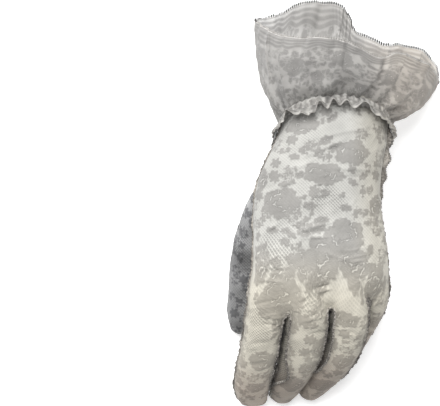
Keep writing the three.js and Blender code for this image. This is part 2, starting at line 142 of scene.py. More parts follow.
class Spline:
    """A Catmull-Rom curve through rows of numbers, spaced by the square root of the chord.

    Args:
        points: the rows it runs through.
        closed: whether the last row joins the first. A closed curve is spaced evenly.
    """

    def __init__(self, points: Array, closed: bool = False) -> None:
        self.points = np.asarray(points, dtype=float)
        self.closed = closed

    def __call__(self, share: Array | float) -> Array:
        """The rows at shares of the whole curve.

        Args:
            share: 0 at the first row and 1 at the last, one value or many.

        Returns:
            One row for each share.
        """
        share = np.atleast_1d(np.asarray(share, dtype=float))
        pts = self.points
        count = len(pts)
        if self.closed:
            place = (share % 1.0) * count
            i = np.floor(place).astype(int)
            weight = place - i
            p0, p1, p2, p3 = (pts[(i + k) % count] for k in (-1, 0, 1, 2))
            t1, t2 = 0.5 * (p2 - p0), 0.5 * (p3 - p1)
        else:
            wide = np.vstack([2 * pts[0] - pts[1], pts, 2 * pts[-1] - pts[-2]])
            place = np.clip(share, 0, 1) * (count - 1)
            i = np.minimum(np.floor(place).astype(int), count - 2)
            weight = place - i
            p0, p1, p2, p3 = (wide[i + k] for k in (0, 1, 2, 3))
            d0, d1, d2 = (np.sqrt(np.linalg.norm(b - a, axis=1))[:, None].clip(1e-4)
                          for a, b in ((p0, p1), (p1, p2), (p2, p3)))
            t1 = ((p1 - p0) / d0 - (p2 - p0) / (d0 + d1) + (p2 - p1) / d1) * d1
            t2 = ((p2 - p1) / d1 - (p3 - p1) / (d1 + d2) + (p3 - p2) / d2) * d1
        w = weight[:, None]
        return (p1 + t1 * w + (-3 * p1 + 3 * p2 - 2 * t1 - t2) * w**2
                + (2 * p1 - 2 * p2 + t1 + t2) * w**3)


def unit(rows: Array) -> Array:
    """Scales each row to a length of one."""
    return rows / np.linalg.norm(rows, axis=-1, keepdims=True).clip(1e-9)


def ramp(value: Array | float, low: float, high: float) -> Array:
    """Runs smoothly from 0 at low to 1 at high."""
    t = np.clip((np.asarray(value, dtype=float) - low) / (high - low), 0, 1)
    return t * t * (3 - 2 * t)


def bell(away: Array, width: float) -> Array:
    """1 where nothing is away, and little from one and a half widths on."""
    return np.exp(-((away / width) ** 2))


def ring_turns(count: int) -> Array:
    """Even turns round a ring."""
    return np.linspace(0, math.tau, count, endpoint=False)


def run_along(line: Array) -> Array:
    """How far along an open line each of its points is."""
    return np.concatenate([[0], np.cumsum(np.linalg.norm(np.diff(line, axis=0), axis=1))])


def rows_at(places: Array, run: Array, rows: Array) -> Array:
    """Rows at places along a line, between the rows at its own places."""
    return np.column_stack([np.interp(places, run, column) for column in rows.T])


def point_tree(points: Array) -> KDTree:
    """A search tree over points of two or three numbers."""
    tree = KDTree(len(points))
    for i, point in enumerate(points.tolist()):
        tree.insert((*point, 0.0)[:3], i)
    tree.balance()
    return tree


class FingerAxis:
    """A finger's centreline with the frame and the half sizes of its section.

    Args:
        rows: x, y, z, half width and half depth, from the root to the tip.
    """

    def __init__(self, rows: list[Row]) -> None:
        table = np.array(rows, dtype=float)
        self.path = Spline(table[:, :3])
        self.size = Spline(np.column_stack([table[:, 3:5], np.zeros(len(table))]))
        steps = np.linspace(0, 1, 400)
        lengths = np.linalg.norm(np.diff(self.path(steps), axis=0), axis=1)
        self.length = float(lengths.sum())

    def at(self, share: Array | float) -> tuple[Array, ...]:
        """Centre, direction, sideways, upwards and half sizes at shares of the length.

        Args:
            share: past 1 the centreline runs straight on.

        Returns:
            centre, along, across, up and size, one row for each share.
        """
        share = np.atleast_1d(np.asarray(share, dtype=float))
        inside = np.clip(share, 0, 1)
        centre = self.path(inside)
        along = unit(self.path(np.minimum(inside + 1e-4, 1)) - self.path(np.maximum(inside - 1e-4, 0)))
        centre = centre + along * ((share - inside) * self.length)[:, None]
        across = unit(np.array([1.0, 0, 0]) - along * along[:, :1])
        up = unit(np.cross(across, along))
        up = np.where(up[:, 2:] < 0, -up, up)
        return centre, along, across, up, self.size(inside)[:, :2]

    def tube(self, sides: int, sections: int) -> Array:
        """Rings of points round the finger, with a rounded tip.

        Args:
            sides: points in each ring.
            sections: rings along the finger.

        Returns:
            An array of rings by points by three.
        """
        turn = ring_turns(sides)
        centre, along, across, up, size = self.at(np.linspace(0, 1, sections))
        cap = np.radians(np.linspace(0, 84, 9))[1:]
        centre = np.vstack([centre, centre[-1] + along[-1] * (TIP_LENGTH * np.sin(cap))[:, None]])
        across = np.vstack([across, np.repeat(across[-1:], len(cap), 0)])
        up = np.vstack([up, np.repeat(up[-1:], len(cap), 0)])
        size = np.vstack([size, size[-1] * np.cos(cap)[:, None]])
        return (centre[:, None] + across[:, None] * (size[:, :1] * np.cos(turn))[..., None]
                + up[:, None] * (size[:, 1:] * np.sin(turn))[..., None])


@dataclass(frozen=True)
class Wrist:
    """The ellipse of the wrist, whose axis leans down towards the arm."""

    centre: tuple[float, float, float] = (0.5, -4.0, 0.0)
    half_width: float = 27.6
    half_depth: float = 19.6
    lean_degrees: float = 35.0
    swell_little: float = 0.1
    swell_back: float = 0.24
    swell_thumb: float = 0.5
    swell_palm: float = 0.78

    @property
    def towards_arm(self) -> Array:
        """The way along its axis."""
        lean = math.radians(self.lean_degrees)
        return np.array([0, math.cos(lean), -math.sin(lean)])

    @property
    def up(self) -> Array:
        """The way out of the back of the hand."""
        lean = math.radians(self.lean_degrees)
        return np.array([0, math.sin(lean), math.cos(lean)])

    def point(self, turn: Array, outside: Array | float, along: Array | float) -> Array:
        """Points by their turn round the wrist, distance outside the hand and place along its axis."""
        turn, outside, along = np.broadcast_arrays(turn, outside, along)
        side, rise = np.cos(turn), np.sin(turn)
        swell = (np.where(side > 0, self.swell_little, self.swell_thumb) * side**2
                 + np.where(rise > 0, self.swell_back, self.swell_palm) * rise**2)
        clear = outside + swell * np.maximum(0, -along)
        return (np.array(self.centre)
                + np.array([1.0, 0, 0]) * ((self.half_width + clear) * side)[..., None]
                + self.up * ((self.half_depth + clear) * rise)[..., None]
                + self.towards_arm * along[..., None])


WRIST = Wrist()
AXES = {name: FingerAxis(rows) for name, rows in FINGER_ROWS.items()}
THUMB_AXIS = FingerAxis(THUMB_ROWS)


def palm_rings(sides: int, per_span: int = 4) -> Array:
    """Rings of points round the palm, from the end of the sleeve to the webs."""
    turn = ring_turns(sides)
    keys = [WRIST.point(turn, 0.0, SLEEVE_PAST_WRIST + 5), WRIST.point(turn, 0.0, 0.0)]
    for x, y, z, width, depth, lean, slant, fullness in PALM_ROWS:
        lean_r, slant_r = math.radians(lean), math.radians(slant)
        across = np.array([math.cos(slant_r), math.sin(slant_r), 0])
        up = np.array([0, math.sin(lean_r), math.cos(lean_r)])
        wide, high = (np.sign(f) * np.abs(f) ** (2 / fullness) for f in (np.cos(turn), np.sin(turn)))
        keys.append(np.array([x, y, z]) + across * (width * wide)[:, None] + up * (depth * high)[:, None])
    keys = np.array(keys)
    flat = Spline(keys.reshape(len(keys), -1))
    return flat(np.linspace(0, 1, (len(keys) - 1) * per_span + 1)).reshape(-1, sides, 3)


def grid_quads(rows: int, columns: int, joined: bool = False) -> Array:
    """Quads between rows of points that close round.

    Args:
        rows: how many rows.
        columns: points in each row. The last is next to the first.
        joined: whether the last row is next to the first row too.

    Returns:
        The quads, row by row.
    """
    i, k = np.meshgrid(np.arange(rows if joined else rows - 1), np.arange(columns), indexing="ij")
    here, ahead, beside = i * columns, (i + 1) % rows * columns, (k + 1) % columns
    return np.stack([here + k, here + beside, ahead + beside, ahead + k], axis=2).reshape(-1, 4)


def round_tube(line: Array, one: Array, two: Array, radius: Array | float,
               sides: int) -> Array:
    """Rings of points round a line, each in the plane of its two directions."""
    turn = ring_turns(sides)
    return line[:, None] + radius * (one[:, None] * np.cos(turn)[None, :, None]
                                     + two[:, None] * np.sin(turn)[None, :, None])


def make_mesh(name: str, points: Array, faces: list, scale: float = MM) -> bpy.types.Mesh:
    """Makes a Blender mesh from points in millimetres."""
    mesh = bpy.data.meshes.new(name)
    mesh.from_pydata((np.asarray(points) * scale).tolist(), [], faces)
    mesh.validate()
    mesh.update()
    return mesh


def link(mesh: bpy.types.Mesh, name: str) -> bpy.types.Object:
    """Puts a mesh into the scene as an object."""
    obj = bpy.data.objects.new(name, mesh)
    bpy.context.scene.collection.objects.link(obj)
    return obj


def voxel_union(lofts: list[Array], voxel: float) -> tuple[Array, Array]:
    """Joins closed lofts into one surface of even quads.

    Args:
        lofts: arrays of rings by points by three, in millimetres.
        voxel: size of a quad, in millimetres.

    Returns:
        Points in millimetres and quads.
    """
    points, faces = [], []
    for rings in lofts:
        start = sum(len(p) for p in points)
        count, sides = rings.shape[:2]
        last = start + (count - 1) * sides
        points.append(rings.reshape(-1, 3))
        faces += (grid_quads(count, sides) + start).tolist()
        faces += [list(range(start, start + sides))[::-1], list(range(last, last + sides))]
    obj = link(make_mesh("skin_draft", np.vstack(points), faces, 1.0), "skin_draft")
    modifier = obj.modifiers.new("remesh", "REMESH")
    modifier.mode = "VOXEL"
    modifier.voxel_size = voxel
    modifier.adaptivity = 0.0
    graph = bpy.context.evaluated_depsgraph_get()
    mesh = bpy.data.meshes.new_from_object(obj.evaluated_get(graph))
    co = np.empty(len(mesh.vertices) * 3)
    mesh.vertices.foreach_get("co", co)
    quads = np.array([tuple(p.vertices) for p in mesh.polygons if len(p.vertices) == 4])
    bpy.data.objects.remove(obj)
    bpy.data.meshes.remove(mesh)
    return co.reshape(-1, 3), quads


class Surface:
    """A mesh held as arrays, with the neighbours that smoothing needs.

    Args:
        points: N rows, in millimetres.
        quads: M rows of four corners.
    """

    def __init__(self, points: Array, quads: Array) -> None:
        self.points = points
        self.quads = quads
        edges = np.vstack([quads[:, [0, 1]], quads[:, [1, 2]], quads[:, [2, 3]], quads[:, [3, 0]]])
        edges = np.unique(np.sort(edges, axis=1), axis=0)
        self.edges = edges
        self.degree = np.bincount(edges.ravel(), minlength=len(points)).clip(1)[:, None]

    def average(self, values: Array) -> Array:
        """Each point's mean over its neighbours."""
        a, b = self.edges.T
        total = np.zeros_like(values)
        np.add.at(total, a, values[b])
        np.add.at(total, b, values[a])
        return total / self.degree

    def smooth(self, rounds: int) -> None:
        """Smooths the surface, with a push back after each round that keeps its volume."""
        for _ in range(rounds):
            for pull in (PULL_IN, PUSH_OUT):
                self.points = self.points + pull * (self.average(self.points) - self.points)

    def normals(self) -> Array:
        """Unit normals at the points."""
        p, q = self.points, self.quads
        face = np.cross(p[q[:, 2]] - p[q[:, 0]], p[q[:, 3]] - p[q[:, 1]])
        total = np.zeros_like(p)
        for k in range(4):
            np.add.at(total, q[:, k], face)
        return unit(total)

    def cut(self, keep_quads: Array) -> tuple["Surface", Array]:
        """The part of the surface made of some of its quads.

        Returns:
            The new surface, and the old number of each of its points.
        """
        quads = self.quads[keep_quads]
        used, inverse = np.unique(quads, return_inverse=True)
        return Surface(self.points[used], inverse.reshape(quads.shape)), used

    def without_loose_points(self) -> "Surface":
        """The same quads, with only the points that they use."""
        return self.cut(np.ones(len(self.quads), dtype=bool))[0]


# Cutting the skin along the seams


@dataclass(frozen=True)
class Fork:
    """A forked strip between two neighbouring fingers."""

    name: str
    left: int
    starts_at: float


FORKS = [
    Fork("fourchette_index_middle", 0, 0.40),
    Fork("fourchette_middle_ring", 1, 0.40),
    Fork("fourchette_ring_little", 2, 0.38),
]
FORK_SHARE_OF_DEPTH = 0.5
FORK_ENDS_AT = 0.92
FORK_TAPERS_OVER = 0.3


def fork_half_height(share: Array, half_depth: Array) -> Array:
    """Half the height of a forked strip, at shares of its finger."""
    run_out = np.clip((FORK_ENDS_AT - share) / FORK_TAPERS_OVER, 0, 1)
    return half_depth * FORK_SHARE_OF_DEPTH * (0.25 + 0.75 * run_out)


# how far up each finger's strip on its thumb side has turned, in millimetres, where that is and over which share
FORK_LIFT = np.array([0.0, 4.6, 2.0, 0.0])
LIFTED_AT, LIFTED_OVER = 0.74, 0.095


@dataclass
class SkinFields:
    """What each point of the skin is near.

    Args:
        finger: number of the nearest finger, 0 for the forefinger.
        share: place along that finger.
        side: millimetres beside its centreline, towards the little finger.
        rise: millimetres above its centreline.
        middle: millimetres above the surface through all the centrelines.
        fork: for each forked strip, how far inside its outline the point is.
        thumb: how much nearer to the thumb than to the hand the point is.
        past_wrist: millimetres past the wrist, towards the arm.
        sideways: the direction that side is measured in.
    """

    finger: Array
    share: Array
    side: Array
    rise: Array
    middle: Array
    fork: list[Array]
    thumb: Array
    past_wrist: Array
    sideways: Array


@dataclass
class Hit:
    """The nearest places on a loft: its triangle's corners, the weights of those and the distance."""

    corners: Array
    weights: Array
    distance: Array


class Loft:
    """A closed loft that finds the nearest place on itself.

    Args:
        rings: rings by points by three, in millimetres.
    """

    def __init__(self, rings: Array) -> None:
        self.rings = rings
        quads = grid_quads(*rings.shape[:2])
        self.tris = np.concatenate([quads[:, [0, 1, 2]], quads[:, [0, 2, 3]]])
        self.points = rings.reshape(-1, 3)
        self.tree = BVHTree.FromPolygons(self.points.tolist(), self.tris.tolist())

    def nearest(self, vectors: list[Vector]) -> Hit:
        """Finds the nearest place to each of some points."""
        found = [self.tree.find_nearest(v) for v in vectors]
        spot = np.array([f[0] for f in found])
        corners = self.tris[np.array([f[2] for f in found])]
        a, b, c = (self.points[corners[:, k]] for k in range(3))
        v0, v1, v2 = b - a, c - a, spot - a
        d00, d01, d11 = (v0 * v0).sum(1), (v0 * v1).sum(1), (v1 * v1).sum(1)
        d20, d21 = (v2 * v0).sum(1), (v2 * v1).sum(1)
        bottom = (d00 * d11 - d01 * d01).clip(1e-12)
        v = (d11 * d20 - d01 * d21) / bottom
        w = (d00 * d21 - d01 * d20) / bottom
        weights = np.clip(np.column_stack([1 - v - w, v, w]), 0, 1)
        weights /= weights.sum(1, keepdims=True).clip(1e-9)
        return Hit(corners, weights, np.array([f[3] for f in found]))

    def values(self, hit: Hit, table: Array) -> Array:
        """A table's values at the places of a hit."""
        rows = table.reshape(len(self.points), -1)[hit.corners]
        return (rows * hit.weights[..., None]).sum(1)


class HandSkin:
    """The hand part of the glove: one smooth skin, and the fields that cut it into panels."""

    def __init__(self) -> None:
        rings = [palm_rings(PALM_SIDES)]
        rings += [axis.tube(FINGER_SIDES, FINGER_RINGS) for axis in [*AXES.values(), THUMB_AXIS]]
        self.lofts = [Loft(r) for r in rings]
        self.axis_tree, self.axis_rows = self._axis_tree()
        self.middle_tree = self._middle_tree()
        self.hits: list[Hit] = []

    @staticmethod
    def _axis_tree() -> tuple[KDTree, Array]:
        """Places along the fingers' centrelines, with a search tree over them.

        Returns:
            The tree, and for each place the finger's number, share, centre, across, up and half sizes.
        """
        shares = np.arange(0.3, 1.08, 0.002)
        rows = []
        for number, axis in enumerate(AXES.values()):
            centre, _, across, up, size = axis.at(shares)
            rows.append(np.column_stack([np.full(len(shares), number), shares, centre, across, up, size]))
        table = np.vstack(rows)
        return point_tree(table[:, 2:5]), table

    @staticmethod
    def _middle_tree() -> BVHTree:
        """The surface through the four centrelines, widened on both sides and past the tips."""
        beside, beyond, rings = 45.0, 25.0 / 60.0, 41
        rows = []
        for along in (SLEEVE_PAST_WRIST + 8, 0.0):
            middle = np.array(WRIST.centre) + WRIST.towards_arm * along
            rows.append([[axis.at(0)[0][0][0], middle[1], middle[2]] for axis in AXES.values()])
        for i in range(rings):
            share = i / (rings - 1) + (beyond if i == rings - 1 else 0.0)
            rows.append([axis.at(share)[0][0].tolist() for axis in AXES.values()])
        wide = []
        for row in rows:
            first, last = row[0], row[-1]
            wide.append([[first[0] - beside, *first[1:]], *row, [last[0] + beside, *last[1:]]])
        count = len(wide[0])
        points = [p for row in wide for p in row]
        tris = []
        for i in range(len(wide) - 1):
            for k in range(count - 1):
                a = i * count + k
                tris += [(a, a + 1, a + count + 1), (a, a + count + 1, a + count)]
        return BVHTree.FromPolygons(points, tris)

    def build(self, voxel: float, smoothing: int) -> Surface:
        """Joins the palm, fingers and thumb into one smooth skin.

        Args:
            voxel: size of a quad, in millimetres.
            smoothing: rounds of smoothing.

        Returns:
            The closed skin.
        """
        points, quads = voxel_union([loft.rings for loft in self.lofts], voxel)
        skin = Surface(points, quads)
        skin.smooth(smoothing)
        return skin

    def fields(self, points: Array) -> SkinFields:
        """Works out what each point of the skin is near."""
        vectors = [Vector(p) for p in points.tolist()]
        near = np.array([self.axis_tree.find(v)[1] for v in vectors])
        row = self.axis_rows[near]
        finger, share = row[:, 0].astype(int), row[:, 1]
        centre, sideways, up, half_depth = row[:, 2:5], row[:, 5:8], row[:, 8:11], row[:, 12]
        offset = points - centre
        side, rise = (offset * sideways).sum(1), (offset * up).sum(1)
        middle = np.empty(len(points))
        for i, v in enumerate(vectors):
            spot, normal, _, _ = self.middle_tree.find_nearest(v)
            middle[i] = (v - spot).dot(normal if normal.z > 0 else -normal)
        lifted = bell(share - LIFTED_AT, LIFTED_OVER) * ramp(-side, 0, 2)
        turned = FORK_LIFT[finger] * lifted
        inside = fork_half_height(share, half_depth) - np.abs(rise - turned)
        forks = []
        for fork in FORKS:
            between = np.where(finger == fork.left, side, np.where(finger == fork.left + 1, -side, OUTSIDE))
            starts = (share - fork.starts_at) * STRIP_RUN
            ends = (FORK_ENDS_AT - share) * STRIP_RUN
            forks.append(np.minimum.reduce([inside, starts, ends, between]))
        self.hits = [loft.nearest(vectors) for loft in self.lofts]
        hand = np.minimum.reduce([hit.distance for hit in self.hits[:-1]])
        past = (points - np.array(WRIST.centre)) @ WRIST.towards_arm
        thumb = hand - self.hits[-1].distance
        return SkinFields(finger, share, side, rise, middle, forks, thumb, past, sideways)


def arc_map(rings: Array, spine: Array, sideways: Array, under: bool) -> Array:
    """Flattens a loft by the arc lengths of its rings.

    Args:
        rings: rings by points by three. Point 0 is on the +X side and the turn is towards +Z.
        spine: the flat place of each ring's middle point.
        sideways: the flat direction towards +X, one row for each ring.
        under: measure from the underside's middle line in place of the back's.

    Returns:
        rings by points by two.
    """
    sides = rings.shape[1]
    middle = (3 * sides // 4) if under else sides // 4
    turned = np.roll(rings, -middle, axis=1)
    step = np.linalg.norm(np.roll(turned, -1, axis=1) - turned, axis=2)
    forward = np.concatenate([np.zeros((len(rings), 1)), np.cumsum(step, axis=1)[:, :-1]], axis=1)
    around = step.sum(1, keepdims=True)
    arc = np.where(forward <= around / 2, forward, forward - around)
    arc = np.roll(arc if under else -arc, middle, axis=1)
    return spine[:, None] + arc[..., None] * sideways[:, None]


class FlatMaps:
    """The flat maps of all the lofts, for the back or for the underside of the hand.

    Args:
        skin: the hand, whose lofts are flattened.
        under: True for the palm side.
    """

    def __init__(self, skin: HandSkin, under: bool) -> None:
        palm = skin.lofts[0]
        middle = palm.rings[:, (3 if under else 1) * palm.rings.shape[1] // 4]
        spine = np.column_stack([middle[:, 0], -run_along(middle)])
        lateral = unit(palm.rings[:, 0] - palm.rings[:, palm.rings.shape[1] // 2])[:, :2]
        self.tables = [arc_map(palm.rings, spine, unit(lateral), under)]
        for loft, axis in zip(skin.lofts[1:], [*AXES.values(), THUMB_AXIS]):
            line = loft.rings[:, (3 if under else 1) * loft.rings.shape[1] // 4]
            sideways = unit(np.gradient(line, axis=0))[:, 0]
            heading = np.column_stack([sideways, -np.sqrt(np.clip(1 - sideways**2, 0.05, 1))])
            steps = np.linalg.norm(np.diff(line, axis=0), axis=1)
            start = int(LEAVES_PALM_AT * len(line)) if axis is not THUMB_AXIS else 0
            on_palm = palm.nearest([Vector(line[start])])
            spine = np.zeros((len(line), 2))
            spine[start] = palm.values(on_palm, self.tables[0])[0]
            for i in range(start + 1, len(line)):
                spine[i] = spine[i - 1] + steps[i - 1] * (heading[i - 1] + heading[i]) / 2
            for i in range(start - 1, -1, -1):
                spine[i] = spine[i + 1] - steps[i] * (heading[i] + heading[i + 1]) / 2
            self.tables.append(arc_map(loft.rings, spine, np.column_stack([-heading[:, 1], heading[:, 0]]), under))

    def flatten(self, skin: HandSkin, thumb: bool = False) -> Array:
        """The flat place of each point of the skin, blended where two lofts meet."""
        chosen = [len(self.tables) - 1] if thumb else range(len(self.tables) - 1)
        total, weight = 0.0, 0.0
        for i in chosen:
            w = (1 / (skin.hits[i].distance + 0.6) ** 4)[:, None]
            total = total + w * skin.lofts[i].values(skin.hits[i], self.tables[i])
            weight = weight + w
        return total / weight


def snap(surface: Surface, level: Array, reach: float) -> Array:
    """Moves the points nearest to where a field crosses zero onto the crossing.

    Args:
        surface: its points are moved.
        level: the field's value at each point.
        reach: how far a point may be from the crossing, in the field's units.

    Returns:
        The field's values after the move.
    """
    a, b = surface.edges.T
    crossing = level[a] * level[b] < 0
    a, b = a[crossing], b[crossing]
    t = level[a] / (level[a] - level[b])
    spot = surface.points[a] + (surface.points[b] - surface.points[a]) * t[:, None]
    total = np.zeros_like(surface.points)
    count = np.zeros(len(surface.points))
    for ends, nearer in ((a, t <= 0.5), (b, t > 0.5)):
        chosen = nearer & (np.abs(level[ends]) < reach)
        np.add.at(total, ends[chosen], spot[chosen])
        np.add.at(count, ends[chosen], 1)
    moved = count > 0
    surface.points[moved] = total[moved] / count[moved][:, None]
    out = level.copy()
    out[moved] = 0
    return out


# The woven pattern

PHOTO_WIDTH, PHOTO_HEIGHT = 440, 406
# the steps of the outlines, in millimetres
JAG_PITCH, JAG_DEPTH = 2.5, 0.42
# the least radius of a rose with openings, and the least length of a leaf with a midrib
OPEN_ROSE, OPEN_LEAF = 4.4, 7.0


@dataclass(frozen=True)
class View:
    """The camera, straight above the hand."""

    x: float = -60.0
    y: float = -44.7
    height: float = 600.0
    pixels_per_mm: float = 1.9

    def pixels(self, points: Array) -> Array:
        """Where points show in the picture, in its pixels."""
        scale = self.pixels_per_mm * self.height / (self.height - points[:, 2])
        return np.column_stack([PHOTO_WIDTH / 2 + (points[:, 0] - self.x) * scale,
                                PHOTO_HEIGHT / 2 - (points[:, 1] - self.y) * scale])


VIEW = View()


class Ripple:
    """Smooth random waves, the same in every run.

    Args:
        seed: chooses the waves.
        size: usual length of a wave, in millimetres.
        waves: how many are summed.
    """

    def __init__(self, seed: int, size: float, waves: int = 14) -> None:
        rng = np.random.default_rng(seed)
        way = unit(rng.normal(size=(waves, 3)))
        self.way = way * (math.tau / (size * rng.uniform(0.6, 1.8, waves)))[:, None]
        self.phase = rng.uniform(0, math.tau, waves)

    def __call__(self, points: Array) -> Array:
        """Values from about -1 to 1 at points of two or three numbers."""
        waves = points @ self.way[:, :points.shape[1]].T
        return np.sin(waves + self.phase).sum(1) / math.sqrt(len(self.phase))


class LacePattern:
    """Woven flowers, leaves and stems, drawn on flat points.

    woven is how many millimetres inside a woven part a point is, and slit how far inside an opening of one.

    Args:
        uv: the flat points, in millimetres.
        seed: chooses the small changes from flower to flower.
        around: if given, the pattern joins up after this length of u.
    """

    def __init__(self, uv: Array, seed: int, around: float | None = None) -> None:
        self.uv = uv + self._jag(uv)
        self.around = around
        self.woven, self.slit = np.full(len(uv), OUTSIDE), np.full(len(uv), OUTSIDE)
        self.clear = 0.5 + 0.35 * Ripple(seed + 1, 16.0)(uv)
        self.rng = np.random.default_rng(seed)
        self.wobble = Ripple(seed, 5.0)(uv)

    @staticmethod
    def _jag(uv: Array) -> Array:
        """The steps that the loom's threads make in every outline."""
        rising, falling = (uv[:, 0] + uv[:, 1]) / 1.41, (uv[:, 0] - uv[:, 1]) / 1.41
        a, b = (JAG_DEPTH * (4 * np.abs((x / JAG_PITCH) % 1 - 0.5) - 1) for x in (falling, rising))
        return np.column_stack([a + b, a - b]) / 1.41

    def _local(self, u: float, v: float, turn: float, reach: float) -> tuple[Array, Array, Array]:
        """Numbers of the points within reach of (u, v), and their places from there along a turned frame."""
        du, dv = self.uv[:, 0] - u, self.uv[:, 1] - v
        if self.around:
            du = (du + self.around / 2) % self.around - self.around / 2
        near = np.flatnonzero((np.abs(du) < reach) & (np.abs(dv) < reach))
        du, dv = du[near], dv[near]
        c, s = math.cos(turn), math.sin(turn)
        return near, c * du + s * dv, -s * du + c * dv

    def _draw(self, near: Array, inside: Array, slit: Array, margin: float) -> None:
        """Draws one shape over what is there, with a bare margin round it."""
        over = inside > -margin
        self.woven[near] = np.where(over, inside, np.maximum(self.woven[near], inside))
        self.slit[near] = np.where(over, slit, self.slit[near])

    def bloom(self, u: float, v: float, radius: float, turn: float = 0.0, squash: float = 0.8,
              margin: float = 0.5) -> None:
        """A rose from above: wavy outer petals, and a few short openings round its heart if it is large."""
        near, x, y = self._local(u, v, turn, radius * 1.6 + 2)
        y = y / squash
        r, angle = np.hypot(x, y), np.arctan2(y, x)
        lean = self.rng.uniform(0, TURN, 3)
        size = radius * (1 + 0.05 * self.wobble[near])
        petal = np.abs(np.cos(2.5 * angle + lean[0]))
        inside = (size * (0.80 + 0.20 * petal**0.7) - r) * (0.5 + 0.5 * squash)
        width = 0.2 + 0.01 * radius
        ring = size * (0.5 + 0.07 * np.abs(np.cos(2 * angle + lean[1])))
        middle = np.where(np.cos(2 * angle + lean[1]) > 0.35, width - np.abs(r - ring), OUTSIDE)
        core = size * (0.26 + 0.06 * np.cos(3 * angle + lean[2]))
        spiral = np.where(np.cos(angle + lean[2]) > -0.3, width - np.abs(r - core), OUTSIDE)
        petals = np.where((r > 0.62 * size) & (r < 0.92 * size) & (np.cos(angle + lean[0]) > 0.3),
                          0.8 * width - 0.4 * petal * r, OUTSIDE)
        slit = np.maximum.reduce([petals, middle, spiral]) if radius > OPEN_ROSE else np.full(len(r), OUTSIDE)
        self._draw(near, inside, slit, margin)

    def leaf(self, u: float, v: float, length: float, turn: float, width: float = 0.42,
             margin: float = 0.45) -> None:
        """A pointed leaf, with an open midrib if it is large. (u, v) is its middle."""
        near, x, y = self._local(u, v, turn, length + 2)
        half = length / 2
        t = np.clip(x / half, -1.4, 1.4)
        edge = half * width * (1 - t * t) * (1 + 0.12 * np.sin(9 * t))
        inside = np.where(np.abs(t) < 1.15, edge - np.abs(y), OUTSIDE)
        rib = np.where((np.abs(t) < 0.6) & (length > OPEN_LEAF), 0.12 - np.abs(y), OUTSIDE)
        self._draw(near, inside, rib, margin)

    def stem(self, u: float, v: float, length: float, turn: float, bend: float) -> None:
        """A bent stem from (u, v)."""
        half_width = 0.36
        near, x, y = self._local(u, v, turn, length + 3)
        line = bend * (x / length) ** 2 * length
        inside = np.where((x > 0) & (x < length), half_width - np.abs(y - line), OUTSIDE)
        self._draw(near, inside, np.full(len(near), OUTSIDE), 0.0)

    def sprig(self, u: float, v: float, length: float, turn: float) -> None:
        """A stem with small leaves on both sides and a bud at its end."""
        bend = self.rng.uniform(-0.3, 0.3)
        self.stem(u, v, length, turn, bend)
        c, s = math.cos(turn), math.sin(turn)
        count = max(2, int(length / 3.2))
        for i in range(count):
            x = length * (i + 0.7) / (count + 0.2)
            y = bend * (x / length) ** 2 * length
            for side in (-1, 1):
                px, py = x + 0.8, y + side * 1.7
                self.leaf(u + c * px - s * py, v + s * px + c * py, 4.0, turn + side * 0.75, 0.44)
        y = bend * length
        self.leaf(u + c * (length + 1) - s * y, v + s * (length + 1) + c * y, 4.6, turn + bend, 0.55)

    def spray(self, u: float, v: float, radius: float, turn: float = 0.0, squash: float = 0.8,
              leaves: int = 4) -> None:
        """A rose with leaves and a sprig round it, the rose drawn over them."""
        first = self.rng.uniform(0, TURN)
        for i in range(leaves):
            angle = first + TURN * i / leaves + self.rng.uniform(-0.35, 0.35)
            far = radius * self.rng.uniform(1.05, 1.25)
            du, dv = far * math.cos(angle), far * squash * math.sin(angle)
            c, s = math.cos(turn), math.sin(turn)
            size = min(max(radius, 5.0), 9.5) * self.rng.uniform(0.85, 1.15)
            heading = turn + angle + self.rng.uniform(-0.5, 0.5)
            place = u + c * du - s * dv, v + s * du + c * dv
            if i % 3 == 2:
                self.sprig(*place, size * 0.9, heading)
            else:
                self.leaf(*place, size, heading, 0.5)
        self.bloom(u, v, radius, turn, squash)

    def fill(self, spacing: float, keep_out: list[tuple[float, float, float]] | None = None) -> None:
        """Draws small leaves, sprigs and flowers wherever the net is still bare.

        Args:
            spacing: from one try to the next, in millimetres.
            keep_out: u, v and radius of places that stay bare.
        """
        free, on_cloth, every = -1.2, 1.5, 3
        tree = point_tree(self.uv[::every])
        low, high = self.uv.min(0), self.uv.max(0)
        for i, u in enumerate(np.arange(low[0], high[0], spacing)):
            for v in np.arange(low[1] + (i % 2) * spacing / 2, high[1], spacing):
                du, dv, turn, pick, size = self.rng.uniform(-1, 1, 5)
                x, y = u + du * spacing * 0.35, v + dv * spacing * 0.35
                _, near, distance = tree.find((x, y, 0))
                if distance > on_cloth or self.woven[every * near] > free:
                    continue
                if any(math.hypot(x - a, y - b) < r for a, b, r in keep_out or []):
                    continue
                turn *= math.pi
                if pick < -0.55:
                    self.bloom(x, y, 3.1 + 0.9 * size, turn, 0.85)
                elif pick < 0.4:
                    self.leaf(x, y, 6.4 + 1.6 * size, turn, 0.5)
                    self.leaf(x + 3.0 * math.cos(turn + 1.9), y + 3.0 * math.sin(turn + 1.9), 5.0, turn + 0.9)
                else:
                    self.sprig(x - 3 * math.cos(turn), y - 3 * math.sin(turn), 6.5 + size, turn)


# Materials


@dataclass(frozen=True)
class LaceFinish:
    """How one stretch of the lace looks.

    Args:
        name: of the material.
        net: colour of the net's threads.
        hole: colour that shows in the meshes of the net.
        woven: colour of the flowers.
        slit: colour of the narrow openings in a flower.
        hole_alpha: how far the net's meshes hide what is behind them.
        thread_alpha: the same for the net's threads.
        woven_alpha: the same for the flowers.
        pitch: from one thread of the net to the next, in millimetres.
    """

    name: str
    net: Colour
    hole: Colour
    woven: Colour
    slit: Colour
    hole_alpha: float = 0.85
    thread_alpha: float = 1.0
    woven_alpha: float = 1.0
    pitch: float = 1.25


